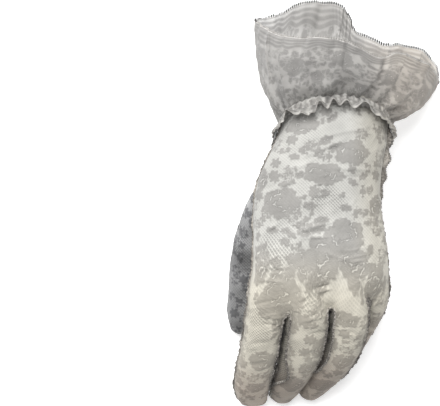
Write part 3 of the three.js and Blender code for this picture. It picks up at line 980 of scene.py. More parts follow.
def srgb(red: float, green: float, blue: float) -> Colour:
    """Linear colour from the 0 to 255 numbers of a screen."""
    def one(value: float) -> float:
        """One part of it."""
        value /= 255
        return value / 12.92 if value <= 0.04045 else ((value + 0.055) / 1.055) ** 2.4
    return one(red), one(green), one(blue)


# metres that a bump of 1 stands for, and how far the flowers' ribs stand out of it
BUMP_DISTANCE, RIB_RELIEF = 0.0003, 0.12


class NodeBuilder:
    """Short calls for a material's nodes."""

    def __init__(self, name: str) -> None:
        self.material = bpy.data.materials.new(name)
        self.material.use_nodes = True
        self.tree = self.material.node_tree
        self.shader = self.tree.nodes["Principled BSDF"]

    def node(self, kind: str, **values: object) -> bpy.types.Node:
        """Adds a node and sets its own fields."""
        made = self.tree.nodes.new(kind)
        for key, value in values.items():
            setattr(made, key, value)
        return made

    def wire(self, source: object, socket: Socket) -> None:
        """Links a socket, or sets a plain value."""
        if isinstance(source, Socket):
            self.tree.links.new(source, socket)
        else:
            socket.default_value = source

    def math(self, operation: str, a: object, b: object = 0.0) -> Socket:
        """One sum."""
        made = self.node("ShaderNodeMath", operation=operation)
        self.wire(a, made.inputs[0])
        self.wire(b, made.inputs[1])
        return made.outputs[0]

    def times(self, a: object, b: object) -> Socket:
        """A product."""
        return self.math("MULTIPLY", a, b)

    def step(self, value: object, low: float, high: float) -> Socket:
        """Smooth step from 0 at low to 1 at high."""
        made = self.node("ShaderNodeMapRange", interpolation_type="SMOOTHSTEP")
        self.wire(value, made.inputs[0])
        made.inputs[1].default_value = low
        made.inputs[2].default_value = high
        return made.outputs[0]

    def mix(self, share: object, a: object, b: object) -> Socket:
        """Mixes two colours."""
        made = self.node("ShaderNodeMix", data_type="RGBA")
        self.wire(share, made.inputs[0])
        for value, socket in ((a, made.inputs[6]), (b, made.inputs[7])):
            self.wire(value if isinstance(value, Socket) else (*value, 1.0), socket)
        return made.outputs[2]

    def blend(self, share: object, a: object, b: object) -> Socket:
        """Mixes two numbers."""
        made = self.node("ShaderNodeMix", data_type="FLOAT")
        for value, socket in ((share, made.inputs[0]), (a, made.inputs[2]), (b, made.inputs[3])):
            self.wire(value, socket)
        return made.outputs[0]

    def attribute(self, name: str, output: str = "Fac") -> Socket:
        """A value that the mesh carries at its points."""
        return self.node("ShaderNodeAttribute", attribute_name=name).outputs[output]

    def bump(self, height: Socket, strength: float) -> None:
        """Raises the surface by a height from 0 to 1."""
        made = self.node("ShaderNodeBump")
        made.inputs["Strength"].default_value = strength
        made.inputs["Distance"].default_value = BUMP_DISTANCE
        self.wire(height, made.inputs["Height"])
        self.wire(made.outputs[0], self.shader.inputs["Normal"])

    def sheen(self, roughness: float, specular: float, weight: float) -> None:
        """Sets how matt the cloth is."""
        self.shader.inputs["Roughness"].default_value = roughness
        self.shader.inputs["Specular IOR Level"].default_value = specular
        self.shader.inputs["Sheen Weight"].default_value = weight

    def noise(self, scale: float, detail: float = 2.0) -> Socket:
        """Noise over the object, scale in waves per metre."""
        made = self.node("ShaderNodeTexNoise")
        made.inputs["Scale"].default_value = scale
        made.inputs["Detail"].default_value = detail
        self.wire(self.node("ShaderNodeTexCoord").outputs["Object"], made.inputs["Vector"])
        return made.outputs[0]


def lace_material(finish: LaceFinish) -> bpy.types.Material:
    """Net with woven flowers, from the flat map and the woven and slit fields.

    Args:
        finish: the colours and the openness.

    Returns:
        The material.
    """
    nb = NodeBuilder(finish.name)
    flat = nb.node("ShaderNodeUVMap", uv_map="flat").outputs[0]
    split = nb.node("ShaderNodeSeparateXYZ")
    nb.wire(flat, split.inputs[0])
    u, v = split.outputs[0], split.outputs[1]
    woven, slit, clear = nb.attribute("woven"), nb.attribute("slit"), nb.attribute("clear")
    drift = nb.times(nb.math("SUBTRACT", nb.noise(260), 0.5), 0.7)

    def thread(value: Socket, pitch: float, low: float, high: float) -> Socket:
        """Lines at a pitch, from 0 between them to 1 on top."""
        turn = nb.math("FRACT", nb.math("DIVIDE", nb.math("ADD", value, drift), pitch))
        ridge = nb.times(nb.math("ABSOLUTE", nb.math("SUBTRACT", turn, 0.5)), 2.0)
        return nb.step(ridge, low, high)

    diagonal = finish.pitch * math.sqrt(2)
    rising = thread(nb.math("ADD", u, v), diagonal, 0.42, 0.78)
    falling = thread(nb.math("SUBTRACT", u, v), diagonal, 0.62, 0.9)
    net = nb.math("MAXIMUM", rising, falling)
    rib = thread(nb.math("ADD", v, nb.times(u, 0.35)), 0.62, 0.3, 0.9)

    opened = nb.step(slit, -0.12, 0.12)
    flower = nb.step(woven, -0.6, 0.6)
    solid = nb.times(flower, nb.math("SUBTRACT", 1.0, nb.times(opened, 0.8)))

    soft = tuple(0.7 * a + 0.3 * b for a, b in zip(finish.net, finish.hole))
    crisp = nb.times(clear, nb.blend(nb.step(nb.noise(60, 1), 0.3, 0.6), 0.6, 1.0))
    hole = nb.mix(crisp, soft, finish.hole)
    net_colour = nb.mix(net, hole, finish.net)
    dark, pale = (tuple(min(c * k, 1) for c in finish.woven) for k in (0.84, 0.97))
    ribbed = nb.mix(rib, dark, pale)
    flecked = nb.mix(nb.step(nb.noise(620, 3), 0.4, 0.62), dark, ribbed)
    corded = tuple(c * 0.7 for c in finish.woven)
    outline = nb.math("SUBTRACT", 1.0, nb.step(woven, 0.5, 1.7))
    petal = nb.step(slit, -1.1, -0.3)
    lines = nb.math("MAXIMUM", nb.times(outline, 0.25), petal)
    flecked = nb.mix(nb.times(lines, 0.65), flecked, corded)
    colour = nb.mix(solid, net_colour, flecked)
    colour = nb.mix(nb.times(nb.times(opened, flower), 0.4), colour, finish.slit)
    # the tone attribute multiplies in the painted shade and light that each piece carries
    tone = nb.node("ShaderNodeAttribute", attribute_name="tone")
    light = nb.blend(nb.noise(70, 3), 0.88, 1.1)
    grey = nb.node("ShaderNodeCombineColor")
    for k in range(3):
        nb.wire(light, grey.inputs[k])
    for factor in (grey.outputs[0], tone.outputs["Color"]):
        shade = nb.node("ShaderNodeMix", data_type="RGBA", blend_type="MULTIPLY")
        shade.inputs[0].default_value = 1.0
        nb.wire(colour, shade.inputs[6])
        nb.wire(factor, shade.inputs[7])
        colour = shade.outputs[2]
    nb.wire(colour, nb.shader.inputs["Base Color"])

    even = 0.35 * finish.hole_alpha + 0.65 * finish.thread_alpha
    ground = nb.blend(crisp, even, nb.blend(net, finish.hole_alpha, finish.thread_alpha))
    cover = nb.blend(solid, ground, finish.woven_alpha)
    nb.wire(nb.blend(tone.outputs["Alpha"], cover, 1.0), nb.shader.inputs["Alpha"])
    relief = nb.times(net, nb.blend(crisp, 0.12, 0.65))
    height = nb.math("ADD", relief, nb.times(solid, 0.45))
    height = nb.math("ADD", height, nb.times(nb.times(rib, solid), RIB_RELIEF))
    nb.bump(height, 0.9)
    nb.sheen(0.78, 0.25, 0.12)
    nb.shader.inputs["Sheen Roughness"].default_value = 0.5
    return nb.material


def thread_material(name: str, dark: Colour, light: Colour, scale: float) -> bpy.types.Material:
    """Plied thread: two tones with a fine twist in its bump."""
    nb = NodeBuilder(name)
    grain = nb.noise(scale, 3)
    patch = nb.noise(scale / 8, 2)
    share = nb.step(nb.blend(0.5, grain, patch), 0.36, 0.66)
    nb.wire(nb.mix(share, dark, light), nb.shader.inputs["Base Color"])
    nb.bump(grain, 0.7)
    nb.sheen(0.82, 0.2, 0.15)
    return nb.material


class Finish(Enum):
    """The lace's finishes."""

    BACK = LaceFinish("lace_back", srgb(199, 198, 193), srgb(170, 169, 165), srgb(168, 166, 162), srgb(212, 211, 206))
    PALM = LaceFinish("lace_palm", srgb(196, 195, 190), srgb(168, 167, 162), srgb(163, 161, 157), srgb(208, 207, 202))
    # painted shade: the strips' meshes and flowers darker than the back's
    FORK = LaceFinish("lace_fork", srgb(199, 197, 191), srgb(160, 158, 152), srgb(150, 147, 142), srgb(208, 206, 200))
    # painted shade: the thumb's flowers darker than the back's
    THUMB = LaceFinish("lace_thumb", srgb(206, 206, 206), srgb(166, 166, 167), srgb(146, 146, 148),
                       srgb(214, 214, 215))
    CUFF = LaceFinish("lace_cuff", srgb(163, 161, 157), srgb(188, 186, 183), srgb(152, 150, 147), srgb(202, 200, 196),
                      0.58, 0.84, 0.88, 1.15)
    FRILL = LaceFinish("lace_frill", srgb(184, 182, 177), srgb(192, 190, 185), srgb(156, 153, 149),
                       srgb(212, 210, 204), 0.6, 0.9, 0.95, 1.0)


# The pieces


def piece(name: str, surface: Surface, material: bpy.types.Material, uv: Array | None = None,
          lace: tuple[Array, ...] | None = None) -> bpy.types.Object:
    """Makes an object from a surface, with its flat map and its pattern.

    Args:
        name: of the object.
        surface: points in millimetres, and quads.
        material: its finish.
        uv: the flat place of each point, or of each corner of each quad.
        lace: for each point, how far inside a woven part it is, how far inside an opening, how clearly the
            net shows, and its tone: the share of each colour that is left, which carries painted shade and light,
            and how closely gathered the cloth is.

    Returns:
        The object, linked and smooth.
    """
    obj = link(make_mesh(name, surface.points, surface.quads.tolist()), name)
    mesh = obj.data
    mesh.polygons.foreach_set("use_smooth", np.ones(len(mesh.polygons), dtype=bool))
    if uv is not None:
        corners = uv if uv.ndim == 3 else uv[surface.quads]
        mesh.uv_layers.new(name="flat").data.foreach_set("uv", corners.astype(np.float32).ravel())
    if lace is not None:
        for key, values in zip(("woven", "slit", "clear"), lace):
            mesh.attributes.new(key, "FLOAT", "POINT").data.foreach_set("value", values.astype(np.float32))
        layer = mesh.attributes.new("tone", "FLOAT_COLOR", "POINT")
        layer.data.foreach_set("color", lace[3].astype(np.float32).ravel())
    mesh.materials.append(material)
    return obj


def ride_and_replace(obj: bpy.types.Object, slot: str, *nodes: str) -> None:
    """Puts a piece on the glove's one body and says what it stands for."""
    stands_for = ", ".join(nodes) or "no node of its own"
    log.info("%s: %d points, stands for %s", obj.name, len(obj.data.vertices), stands_for)
    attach(obj, "root")
    if nodes:
        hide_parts(*nodes)


@dataclass(frozen=True)
class Bloom:
    """A rose of the back's pattern, by its place and size in the picture, in pixels."""

    x: float
    y: float
    wide: float
    high: float
    degrees: float = 0.0


@dataclass(frozen=True)
class Leaf:
    """A leaf of the back's pattern, by its place and length in the picture, in pixels."""

    x: float
    y: float
    length: float
    degrees: float = 0.0


BACK_BLOOMS = [Bloom(*row) for row in (
    (302, 124, 34, 22, -5), (352, 152, 34, 25, 10), (324, 173, 40, 21, -5), (281, 203, 38, 29, 10),
    (262, 178, 16, 26, 10), (376, 206, 16, 24, -20), (303, 262, 30, 15), (355, 264, 24, 32, 70),
    (322, 258, 33, 34, 20), (345, 236, 38, 33), (261, 264, 18, 20), (278, 294, 42, 30, 10), (375, 284, 22, 34, 5),
    (284, 313, 24, 18, 40), (262, 361, 27, 26), (256, 388, 22, 16), (322, 347, 24, 32, 20), (292, 385, 26, 24, 10),
    (309, 368, 22, 20, 40), (346, 320, 22, 16), (344, 362, 24, 22, 40), (322, 386, 30, 20, 20),
    (377, 322, 18, 20, 60))]
BACK_LEAVES = [Leaf(*row) for row in (
    (323, 121, 8, 80), (332, 117, 14, 40), (315, 145, 10), (303, 151, 11, -40), (287, 150, 10, 15),
    (294, 157, 12, -10), (326, 141, 16, 30), (334, 147, 14, 35), (300, 175, 13, 10), (286, 170, 8, 70),
    (293, 170, 10, 40), (281, 176, 7, -20), (284, 184, 12, 5), (291, 181, 10, -35), (322, 194, 15, 12),
    (309, 205, 14), (346, 208, 13, -8), (303, 197, 8, 20), (299, 213, 10, -70), (312, 213, 8, 80),
    (306, 219, 10, 30), (321, 221, 16, 10), (309, 226, 10, -20), (304, 233, 16, -5), (318, 229, 16, 15),
    (272, 230, 13, -5), (285, 230, 10, 10), (291, 235, 11, -25), (285, 242, 12, -15), (368, 223, 10),
    (364, 212, 12, 20), (276, 262, 11, -20), (277, 275, 17, 5), (290, 271, 12, 20), (310, 284, 11, 30),
    (322, 288, 14, 15), (363, 176, 12, 40), (370, 190, 12, 60), (352, 182, 12, -30), (342, 195, 8, 30),
    (362, 296, 10, 70), (258, 236, 10, 70), (264, 247, 9, 60), (370, 250, 12, 80), (256, 296, 9, 60),
    (300, 300, 10, 40), (328, 318, 11, 20), (312, 326, 12, -20), (346, 342, 9, 10), (362, 340, 12, 60),
    (274, 336, 10, 50), (278, 374, 12, 70))]
# places where only net shows: x, y and radius in the picture's pixels, and how clearly its threads show
BARE_NET = [(276, 246, 15, 1), (256, 318, 11, 1), (259, 337, 11, 1), (328, 202, 15, 1), (340, 125, 16, 0.2),
            (343, 282, 12, 0.1), (296, 347, 9, 1), (349, 343, 9, 0.2), (312, 137, 10, 0.5), (316, 288, 9, 0.8),
            (305, 189, 8, 0.4), (344, 304, 13, 0.1), (366, 150, 12, 0.2), (345, 190, 11, 0.3), (286, 226, 9, 0.8),
            (312, 306, 8, 0.6), (372, 262, 10, 0.3), (300, 212, 8, 0.4), (250, 346, 8, 0.8), (268, 290, 6, 0.3),
            (320, 335, 8, 0.3), (290, 148, 8, 0.3)]


@dataclass(frozen=True)
class Wrinkle:
    """A soft fold of the skin, from one place of the picture to another."""

    x0: float
    y0: float
    x1: float
    y1: float
    height: float
    width: float = 1.1


WRINKLES = [Wrinkle(*row) for row in (
    (296, 160, 348, 138, 0.9, 1.3), (276, 178, 318, 158, 0.7), (305, 140, 372, 126, 0.6), (258, 196, 296, 180, 0.5),
    (330, 168, 376, 170, 0.7), (336, 178, 374, 176, -0.5, 0.9), (344, 118, 378, 134, -0.7),
    (322, 124, 340, 114, -0.6, 0.9), (310, 152, 344, 147, -0.5, 0.8), (250, 306, 276, 300, -0.5),
    (248, 345, 272, 341, -0.5), (306, 336, 330, 330, -0.7, 0.9), (262, 324, 282, 327, -0.6, 0.8),
    (270, 318, 286, 318, 0.5, 0.8), (302, 322, 326, 316, 0.6, 0.9), (340, 330, 364, 336, -0.5),
    (300, 356, 320, 352, -0.4), (245, 366, 270, 362, -0.5), (302, 229, 334, 222, 0.7, 0.8),
    (298, 234, 330, 230, -0.6, 0.7), (300, 238, 330, 237, 0.6, 0.8), (286, 222, 312, 238, -0.5, 0.7),
    (315, 289, 329, 285, -0.7, 0.8), (316, 293, 332, 288, 0.6, 0.9), (318, 250, 352, 262, 0.4),
    (366, 240, 384, 262, 0.6), (370, 212, 386, 240, 0.7, 0.8), (366, 216, 382, 244, -0.6, 0.7),
    (362, 206, 384, 222, 0.5, 0.8), (366, 190, 378, 214, 0.6, 0.9), (268, 232, 280, 228, -0.5, 0.8),
    (262, 236, 282, 220, 0.4, 0.8), (262, 272, 290, 270, -0.5, 0.8), (258, 279, 286, 283, 0.5, 0.9),
    (352, 262, 364, 260, 0.5, 0.6), (352, 267, 364, 266, -0.5, 0.6), (362, 286, 368, 300, -0.6, 0.9),
    (282, 118, 274, 140, -0.7, 0.9), (277, 122, 268, 146, 0.7, 0.9))]
# where the fingers part, in pixels of the picture: across, and down to the webs and to the strips
PART_X, WEBS_Y, STRIPS_Y = [262, 293, 335, 369, 384], [318, 309, 302, 292, 286], [322, 313, 308, 298, 290]
# how far the strips swell between the forefinger, the middle finger and the ring finger, in millimetres
STRIPS_SWELL = (1.9, 1.2)
# how far the forefinger's tip widens towards the thumb, in millimetres
TIP_FLARE = 1.5
# the way round the thumb on its flat map, in millimetres
THUMB_ROUND = math.tau * 9.0
# rounds of smoothing for the skin, for the webs and for the flat map over the knuckles
SKIN_ROUNDS, WEB_ROUNDS, FLAT_ROUNDS = 12, 90, 400
# painted shade towards each finger's tip, where it curves down away from the light: where it begins, where it is
# full, and by how much
TIP_SHADE_FROM, TIP_SHADE_TO = np.array([0.56, 0.6, 0.58, 0.45]), np.array([0.86, 0.84, 0.84, 0.8])
TIP_SHADE_BY = np.array([0.26, 0.42, 0.42, 0.34])


class Cut(IntEnum):
    """What a quad of the skin belongs to. The second and the third strip come after the first one."""

    GONE = -1
    BACK = 0
    PALM = 1
    STRIP = 2
    THUMB = 5


class HandGlove:
    """The hand part: back, palm, forked strips and thumb, and the raised seams between them.

    Args:
        voxel: size of the skin's quads, in millimetres.
    """

    def __init__(self, voxel: float = 0.6) -> None:
        self.form = HandSkin()
        self.skin = self.form.build(voxel, SKIN_ROUNDS)
        self._ease_webs()
        self._wrinkle()
        self.fields = self.form.fields(self.skin.points)
        f = self.fields
        self.fork = [snap(self.skin, level, 0.5) for level in f.fork]
        self.middle = snap(self.skin, f.middle, 0.5)
        self.thumb = snap(self.skin, f.thumb, 0.5)
        self.label = self._labels()
        shown = VIEW.pixels(self.skin.points)
        part = np.interp(shown[:, 0], PART_X, STRIPS_Y)
        self.parted = np.where(self.middle < -1.5, 1.0, ramp(shown[:, 1] - part, -4, 5))
        self._fill_out()
        self.normals = self.skin.normals()
        self.back_map = FlatMaps(self.form, False)
        self.palm_map = FlatMaps(self.form, True)

    def _ease_webs(self) -> None:
        """Lets the cloth bridge the valleys between the knuckles, down to where the fingers part."""
        shown, facing = VIEW.pixels(self.skin.points), self.skin.normals()[:, 2]
        part = np.interp(shown[:, 0], PART_X, WEBS_Y)
        share = ramp(shown[:, 1], 244, 262) * (1 - ramp(shown[:, 1] - part, -5, 2))
        share = (share * ramp(facing, 0.05, 0.3))[:, None]
        for _ in range(WEB_ROUNDS):
            points = self.skin.points
            self.skin.points = points + 0.6 * share * (self.skin.average(points) - points)

    def _wrinkle(self) -> None:
        """Raises the soft folds that show on the back, and lets the cloth give a little everywhere."""
        points, normals = self.skin.points, self.skin.normals()
        shown = VIEW.pixels(points)
        facing = ramp(normals[:, 2], 0.1, 0.5)
        c, lean = math.cos(0.35), math.sin(0.35)
        slanted = np.column_stack([(c * points[:, 0] + lean * points[:, 1]) * 0.4,
                                   (-lean * points[:, 0] + c * points[:, 1]), points[:, 2]])
        crest = (1 - np.abs(Ripple(6, 9)(slanted)).clip(0, 1)) ** 4
        where = ramp(Ripple(7, 22)(points), -0.3, 0.9)
        move = 0.16 * Ripple(3, 16)(points) + 0.07 * Ripple(4, 5)(points) + 0.42 * crest * where
        for w in WRINKLES:
            a, b = np.array([w.x0, w.y0]), np.array([w.x1, w.y1])
            run = b - a
            t = np.clip(((shown - a) @ run) / (run @ run), 0, 1)
            off = np.linalg.norm(shown - a - t[:, None] * run, axis=1) / VIEW.pixels_per_mm
            fade = np.sin(math.pi * np.clip(t, 0.02, 0.98)) ** 0.7
            move += w.height * fade * facing * bell(off, w.width)
        self.skin.points = points + normals * move[:, None]

    def _fill_out(self) -> None:
        """Swells the strips until they touch low between the fingers, and squares off the forefinger's tip."""
        f, normals = self.fields, self.skin.normals()
        swell = np.zeros(len(f.share))
        for level, by in zip(self.fork[:2], STRIPS_SWELL):
            swell = np.maximum(swell, by * ramp(level, 0, 3))
        swell = swell * bell(f.rise + 3.2, 3.4) * (1 - ramp(f.share, 0.8, 0.9))
        half, side = 7.0, np.abs(f.side)
        square = half * (np.minimum(side, half) / half) ** 0.62 - np.minimum(side, half)
        square = np.sign(f.side) * square * ramp(f.share, 0.94, 0.995)
        flare = -TIP_FLARE * ramp(f.share, 0.86, 0.96) * ramp(-f.side, 1, 6)
        tip = np.where((f.finger == 0) & (f.thumb < 0), square + flare, 0.0)
        self.skin.points = self.skin.points + normals * swell[:, None] + f.sideways * tip[:, None]

    def _labels(self) -> Array:
        """The panel of each quad."""
        middle, thumb, past, *forks = [values[self.skin.quads].mean(1) for values in (
            self.middle, self.thumb, self.fields.past_wrist, *self.fork)]
        label = np.where(middle > 0, Cut.BACK, Cut.PALM)
        for i, level in enumerate(forks):
            label = np.where(level > 0, Cut.STRIP + i, label)
        return np.where(past > SLEEVE_PAST_WRIST, Cut.GONE, np.where(thumb > 0, Cut.THUMB, label))

    def _panel(self, name: str, label: int, uv: Array, pattern: LacePattern,
               material: bpy.types.Material, node: str, slot: str) -> None:
        """Makes one panel of the skin a piece of lace.

        Args:
            name: of the piece.
            label: the panel.
            uv: flat place of each point of the skin.
            pattern: what is woven there.
            material: its finish.
            node: what it stands for.
            slot: its finish's slot, which is not used.
        """
        part, used = self.skin.cut(self.label == label)
        solid = ramp(pattern.woven[used], -0.3, 0.5) * (1 - ramp(pattern.slit[used], -0.2, 0.2))
        part.points = part.points + self.normals[used] * (solid * 0.08)[:, None]
        flat = uv[used][part.quads]
        if label == Cut.THUMB:
            jump = flat[:, :, 0] - flat[:, :1, 0]
            flat[:, :, 0] -= np.where(np.abs(jump) > THUMB_ROUND / 2, np.sign(jump) * THUMB_ROUND, 0)
        lace = pattern.woven[used], pattern.slit[used], pattern.clear[used], self._tone(used, label)
        obj = piece(name, part, material, flat, lace)
        ride_and_replace(obj, slot, node)

    def _tone(self, used: Array, label: int) -> Array:
        """The share of each colour that is left, with painted shade worked in, and how closely gathered the cloth is.

        Args:
            used: numbers of the panel's points.
            label: the panel.

        Returns:
            Four columns.
        """
        f = self.fields
        finger, share, rise = f.finger[used], f.share[used], f.rise[used]
        down = -self.skin.points[used, 1]
        # painted shade: the hand darker towards the wrist
        light = 0.75 + 0.25 * ramp(down, 30, 95)
        # painted shade: each finger darker and a little warmer towards its tip
        tip_shade = ramp(share, TIP_SHADE_FROM[finger], TIP_SHADE_TO[finger])
        dark = light * (1 - TIP_SHADE_BY[finger] * tip_shade)
        # partly denser cloth and partly painted shade: darker beside the seams, at the hand's edges and along the
        # strips where the fingers part
        middle = np.abs(self.middle[used])
        seam = bell(middle, 2.6)
        for level in self.fork:
            seam = np.maximum(seam, 0.8 * bell(level[used], 1.8) * self.parted[used])
        dark = dark * (1 - 0.38 * seam)
        warm = np.maximum(ramp(down, 60, 96), 0.7 * ramp(self.skin.points[used, 0], 4, 20))
        if label == Cut.THUMB:
            # painted shade: the whole thumb darker, most towards its lower end, where it lies under the hand
            low = ramp(down, 28, 75)
            dark = (0.53 - 0.15 * low) * (1 + 0.3 * Ripple(12, 14)(self.skin.points[used]))
            warm, tip_shade = 0 * dark, 0 * dark
        elif label >= Cut.STRIP:
            # painted shade between the parted fingers: the strips darker, most on the left finger's flank and low
            # down
            strip = label - Cut.STRIP
            inner = np.where(finger == strip, 0.95, (0.45, 0.6, 0.85)[strip])
            inner = inner + (0.96 - inner) * ramp(-rise, -0.5, 3)
            dark = dark * (1 - inner * self.parted[used])
        elif label == Cut.PALM:
            dark = dark * 0.92
        dark = dark * (1 + 0.05 * Ripple(13, 11)(self.skin.points[used]))
        return np.column_stack([dark, dark * (1 - 0.045 * warm - 0.075 * tip_shade),
                                dark * (1 - 0.14 * warm - 0.08 * tip_shade), 0.25 * seam])

    def build(self) -> None:
        """Makes all the panels and seams."""
        facing = self.normals[:, 2]
        back_uv = self._relax(self.back_map.flatten(self.form), facing)
        palm_uv = self._relax(self.palm_map.flatten(self.form), -facing)
        thumb_uv = self.back_map.flatten(self.form, thumb=True)
        back = self._back_pattern(back_uv)
        self._panel("back_lace", Cut.BACK, back_uv, back, lace_material(Finish.BACK.value), "back_panel",
                    "lace_back")
        palm = LacePattern(palm_uv, 21)
        for u, v, radius in [(-14, -30, 8.5), (8, -44, 9.5), (-22, -58, 8.5), (2, -74, 9.5), (-30, -88, 8),
                             (-38, -118, 7), (-14, -114, 7), (8, -110, 7), (22, -94, 7), (-8, -96, 7)]:
            palm.spray(u, v, radius, 0.4 * u, 0.8, 4)
        self._fill_panel(palm, Cut.PALM, 6.4)
        self._panel("palm_lace", Cut.PALM, palm_uv, palm, lace_material(Finish.PALM.value), "palm_panel",
                    "lace_palm")
        thumb = LacePattern(thumb_uv, 31)
        for i in range(8):
            thumb.spray(-52 + 9 * i, -60 - 12 * (i % 4) - 4 * i, 5.4, 0.8 * i, 0.8, 3)
        self._fill_panel(thumb, Cut.THUMB, 6.5)
        self._panel("thumb_lace", Cut.THUMB, thumb_uv, thumb, lace_material(Finish.THUMB.value), "thumb",
                    "lace_thumb")
        fork_material = lace_material(Finish.FORK.value)
        f = self.fields
        for i, fork in enumerate(FORKS):
            run = (f.share - fork.starts_at) * STRIP_RUN * np.where(f.finger == fork.left, -1, 1)
            uv = np.column_stack([f.rise, run])
            pattern = LacePattern(uv, 41 + i)
            for k in range(-9, 10):
                pattern.leaf(1.5 * (-1) ** k, 7.5 * k, 6.0, 1.2 * k, 0.5)
            over = (self.parted < 0.5) & (self.middle > 0)
            uv = np.where(over[:, None], back_uv, uv)
            pattern.woven = np.where(over, back.woven, pattern.woven)
            pattern.slit = np.where(over, back.slit, pattern.slit)
            pattern.clear = np.where(over, back.clear, 0.8)
            self._panel(fork.name + "_lace", Cut.STRIP + i, uv, pattern, fork_material, fork.name, "lace_strip")
        self._seams()

    def _relax(self, uv: Array, facing: Array) -> Array:
        """Evens out a flat map over the knuckles, where the hand's and the fingers' maps meet."""
        down = VIEW.pixels(self.skin.points)[:, 1]
        weight = ramp(down, 236, 250) * (1 - ramp(down, 318, 332)) * ramp(facing, -0.1, 0.15)
        part, used = self.skin.cut(weight[self.skin.quads].max(1) > 0)
        flat, share = uv[used].copy(), 0.9 * weight[used][:, None]
        for _ in range(FLAT_ROUNDS):
            flat = flat + share * (part.average(flat) - flat)
        out = uv.copy()
        out[used] = flat
        return out

    def _fill_panel(self, pattern: LacePattern, label: int, spacing: float,
                    keep_out: list[tuple[float, float, float]] | None = None) -> None:
        """Fills what is bare, trying only places on the panel."""
        chosen = self.label == label
        if label == Cut.BACK:
            strips = (self.label >= Cut.STRIP) & (self.label < Cut.THUMB)
            chosen = chosen | (strips & (self.parted[self.skin.quads].mean(1) < 0.6))
        used = np.unique(self.skin.quads[chosen])
        sub = LacePattern(pattern.uv[used], int(pattern.rng.integers(1000)))
        sub.woven, sub.slit = pattern.woven[used], pattern.slit[used]
        sub.fill(spacing, keep_out)
        pattern.woven[used], pattern.slit[used] = sub.woven, sub.slit

    def _back_pattern(self, uv: Array) -> LacePattern:
        """The back's flowers, at their places in the picture."""
        used = np.unique(self.skin.quads[self.label == Cut.BACK])
        used = used[self.normals[used, 2] > 0.15]
        tree = point_tree(VIEW.pixels(self.skin.points[used]))

        def spot(x: float, y: float) -> Array:
            """The flat place of a pixel of the picture."""
            return uv[used[tree.find((x, y, 0))[1]]]

        pattern = LacePattern(uv, 11)
        pattern.clear = 0.12 + 0 * pattern.clear
        size = 1 / VIEW.pixels_per_mm
        for b in BACK_BLOOMS:
            pattern.bloom(*spot(b.x, b.y), b.wide / 2 * size * 1.1, math.radians(b.degrees), b.high / b.wide, 0.2)
        for leaf in BACK_LEAVES:
            pattern.leaf(*spot(leaf.x, leaf.y), leaf.length * size * 1.1, math.radians(leaf.degrees), 0.52, 0.3)
        bare = [(*spot(x, y), r * size) for x, y, r, _ in BARE_NET]
        for (u, v, radius), (_, _, _, clear) in zip(bare, BARE_NET):
            gap = np.hypot(*(uv - (u, v)).T) / radius
            pattern.clear = np.maximum(pattern.clear, clear * (1 - ramp(gap, 0.7, 1.5)))
        self._fill_panel(pattern, Cut.BACK, 6.6, bare)
        return pattern

    def _seams(self) -> None:
        """Raised, puckered seams along every border between two panels."""
        paths = border_paths(self.skin, self.label)
        calm = np.where(np.abs(self.middle) < 1.5, 1.0, 0.12 + 0.88 * self.parted)
        ridge = SeamRidge(self.skin, self.normals, calm)
        cloth = thread_material("seam", srgb(94, 90, 85), srgb(168, 163, 155), 1100)
        thread = thread_material("stitches", srgb(58, 55, 52), srgb(112, 108, 102), 1600)
        surface = ridge.build(paths)
        stitches = piece("seam_stitches", ridge.stitches(), thread)
        for obj in (piece("raised_seams", surface, cloth), stitches):
            ride_and_replace(obj, "lace_strip")


def border_paths(skin: Surface, label: Array) -> list[Array]:
    """Point numbers along each border between two panels, in order.

    Args:
        skin: the whole skin.
        label: the panel of each quad, or -1.

    Returns:
        One array of point numbers for each border.
    """
    q = skin.quads
    sides = np.stack([q, np.roll(q, -1, axis=1)], axis=2).reshape(-1, 2)
    owner = np.repeat(np.arange(len(q)), 4)
    key = np.sort(sides, axis=1)
    order = np.lexsort((key[:, 1], key[:, 0]))
    key, owner = key[order], owner[order]
    same = (key[1:] == key[:-1]).all(1)
    first, second = label[owner[:-1][same]], label[owner[1:][same]]
    edges = key[:-1][same][(first != second) & (first >= 0) & (second >= 0)]
    links: dict[int, list[int]] = {}
    for a, b in edges.tolist():
        links.setdefault(a, []).append(b)
        links.setdefault(b, []).append(a)
    seen: set[tuple[int, int]] = set()
    paths = []
    starts = [p for p, n in links.items() if len(n) != 2] + list(links)
    for start in starts:
        for step in links[start]:
            if (start, step) in seen:
                continue
            path = [start]
            here, ahead = start, step
            while True:
                seen.update({(here, ahead), (ahead, here)})
                path.append(ahead)
                onward = [n for n in links[ahead] if (ahead, n) not in seen]
                if len(links[ahead]) != 2 or not onward:
                    break
                here, ahead = ahead, onward[0]
            if len(path) > 12:
                paths.append(np.array(path))
    return paths


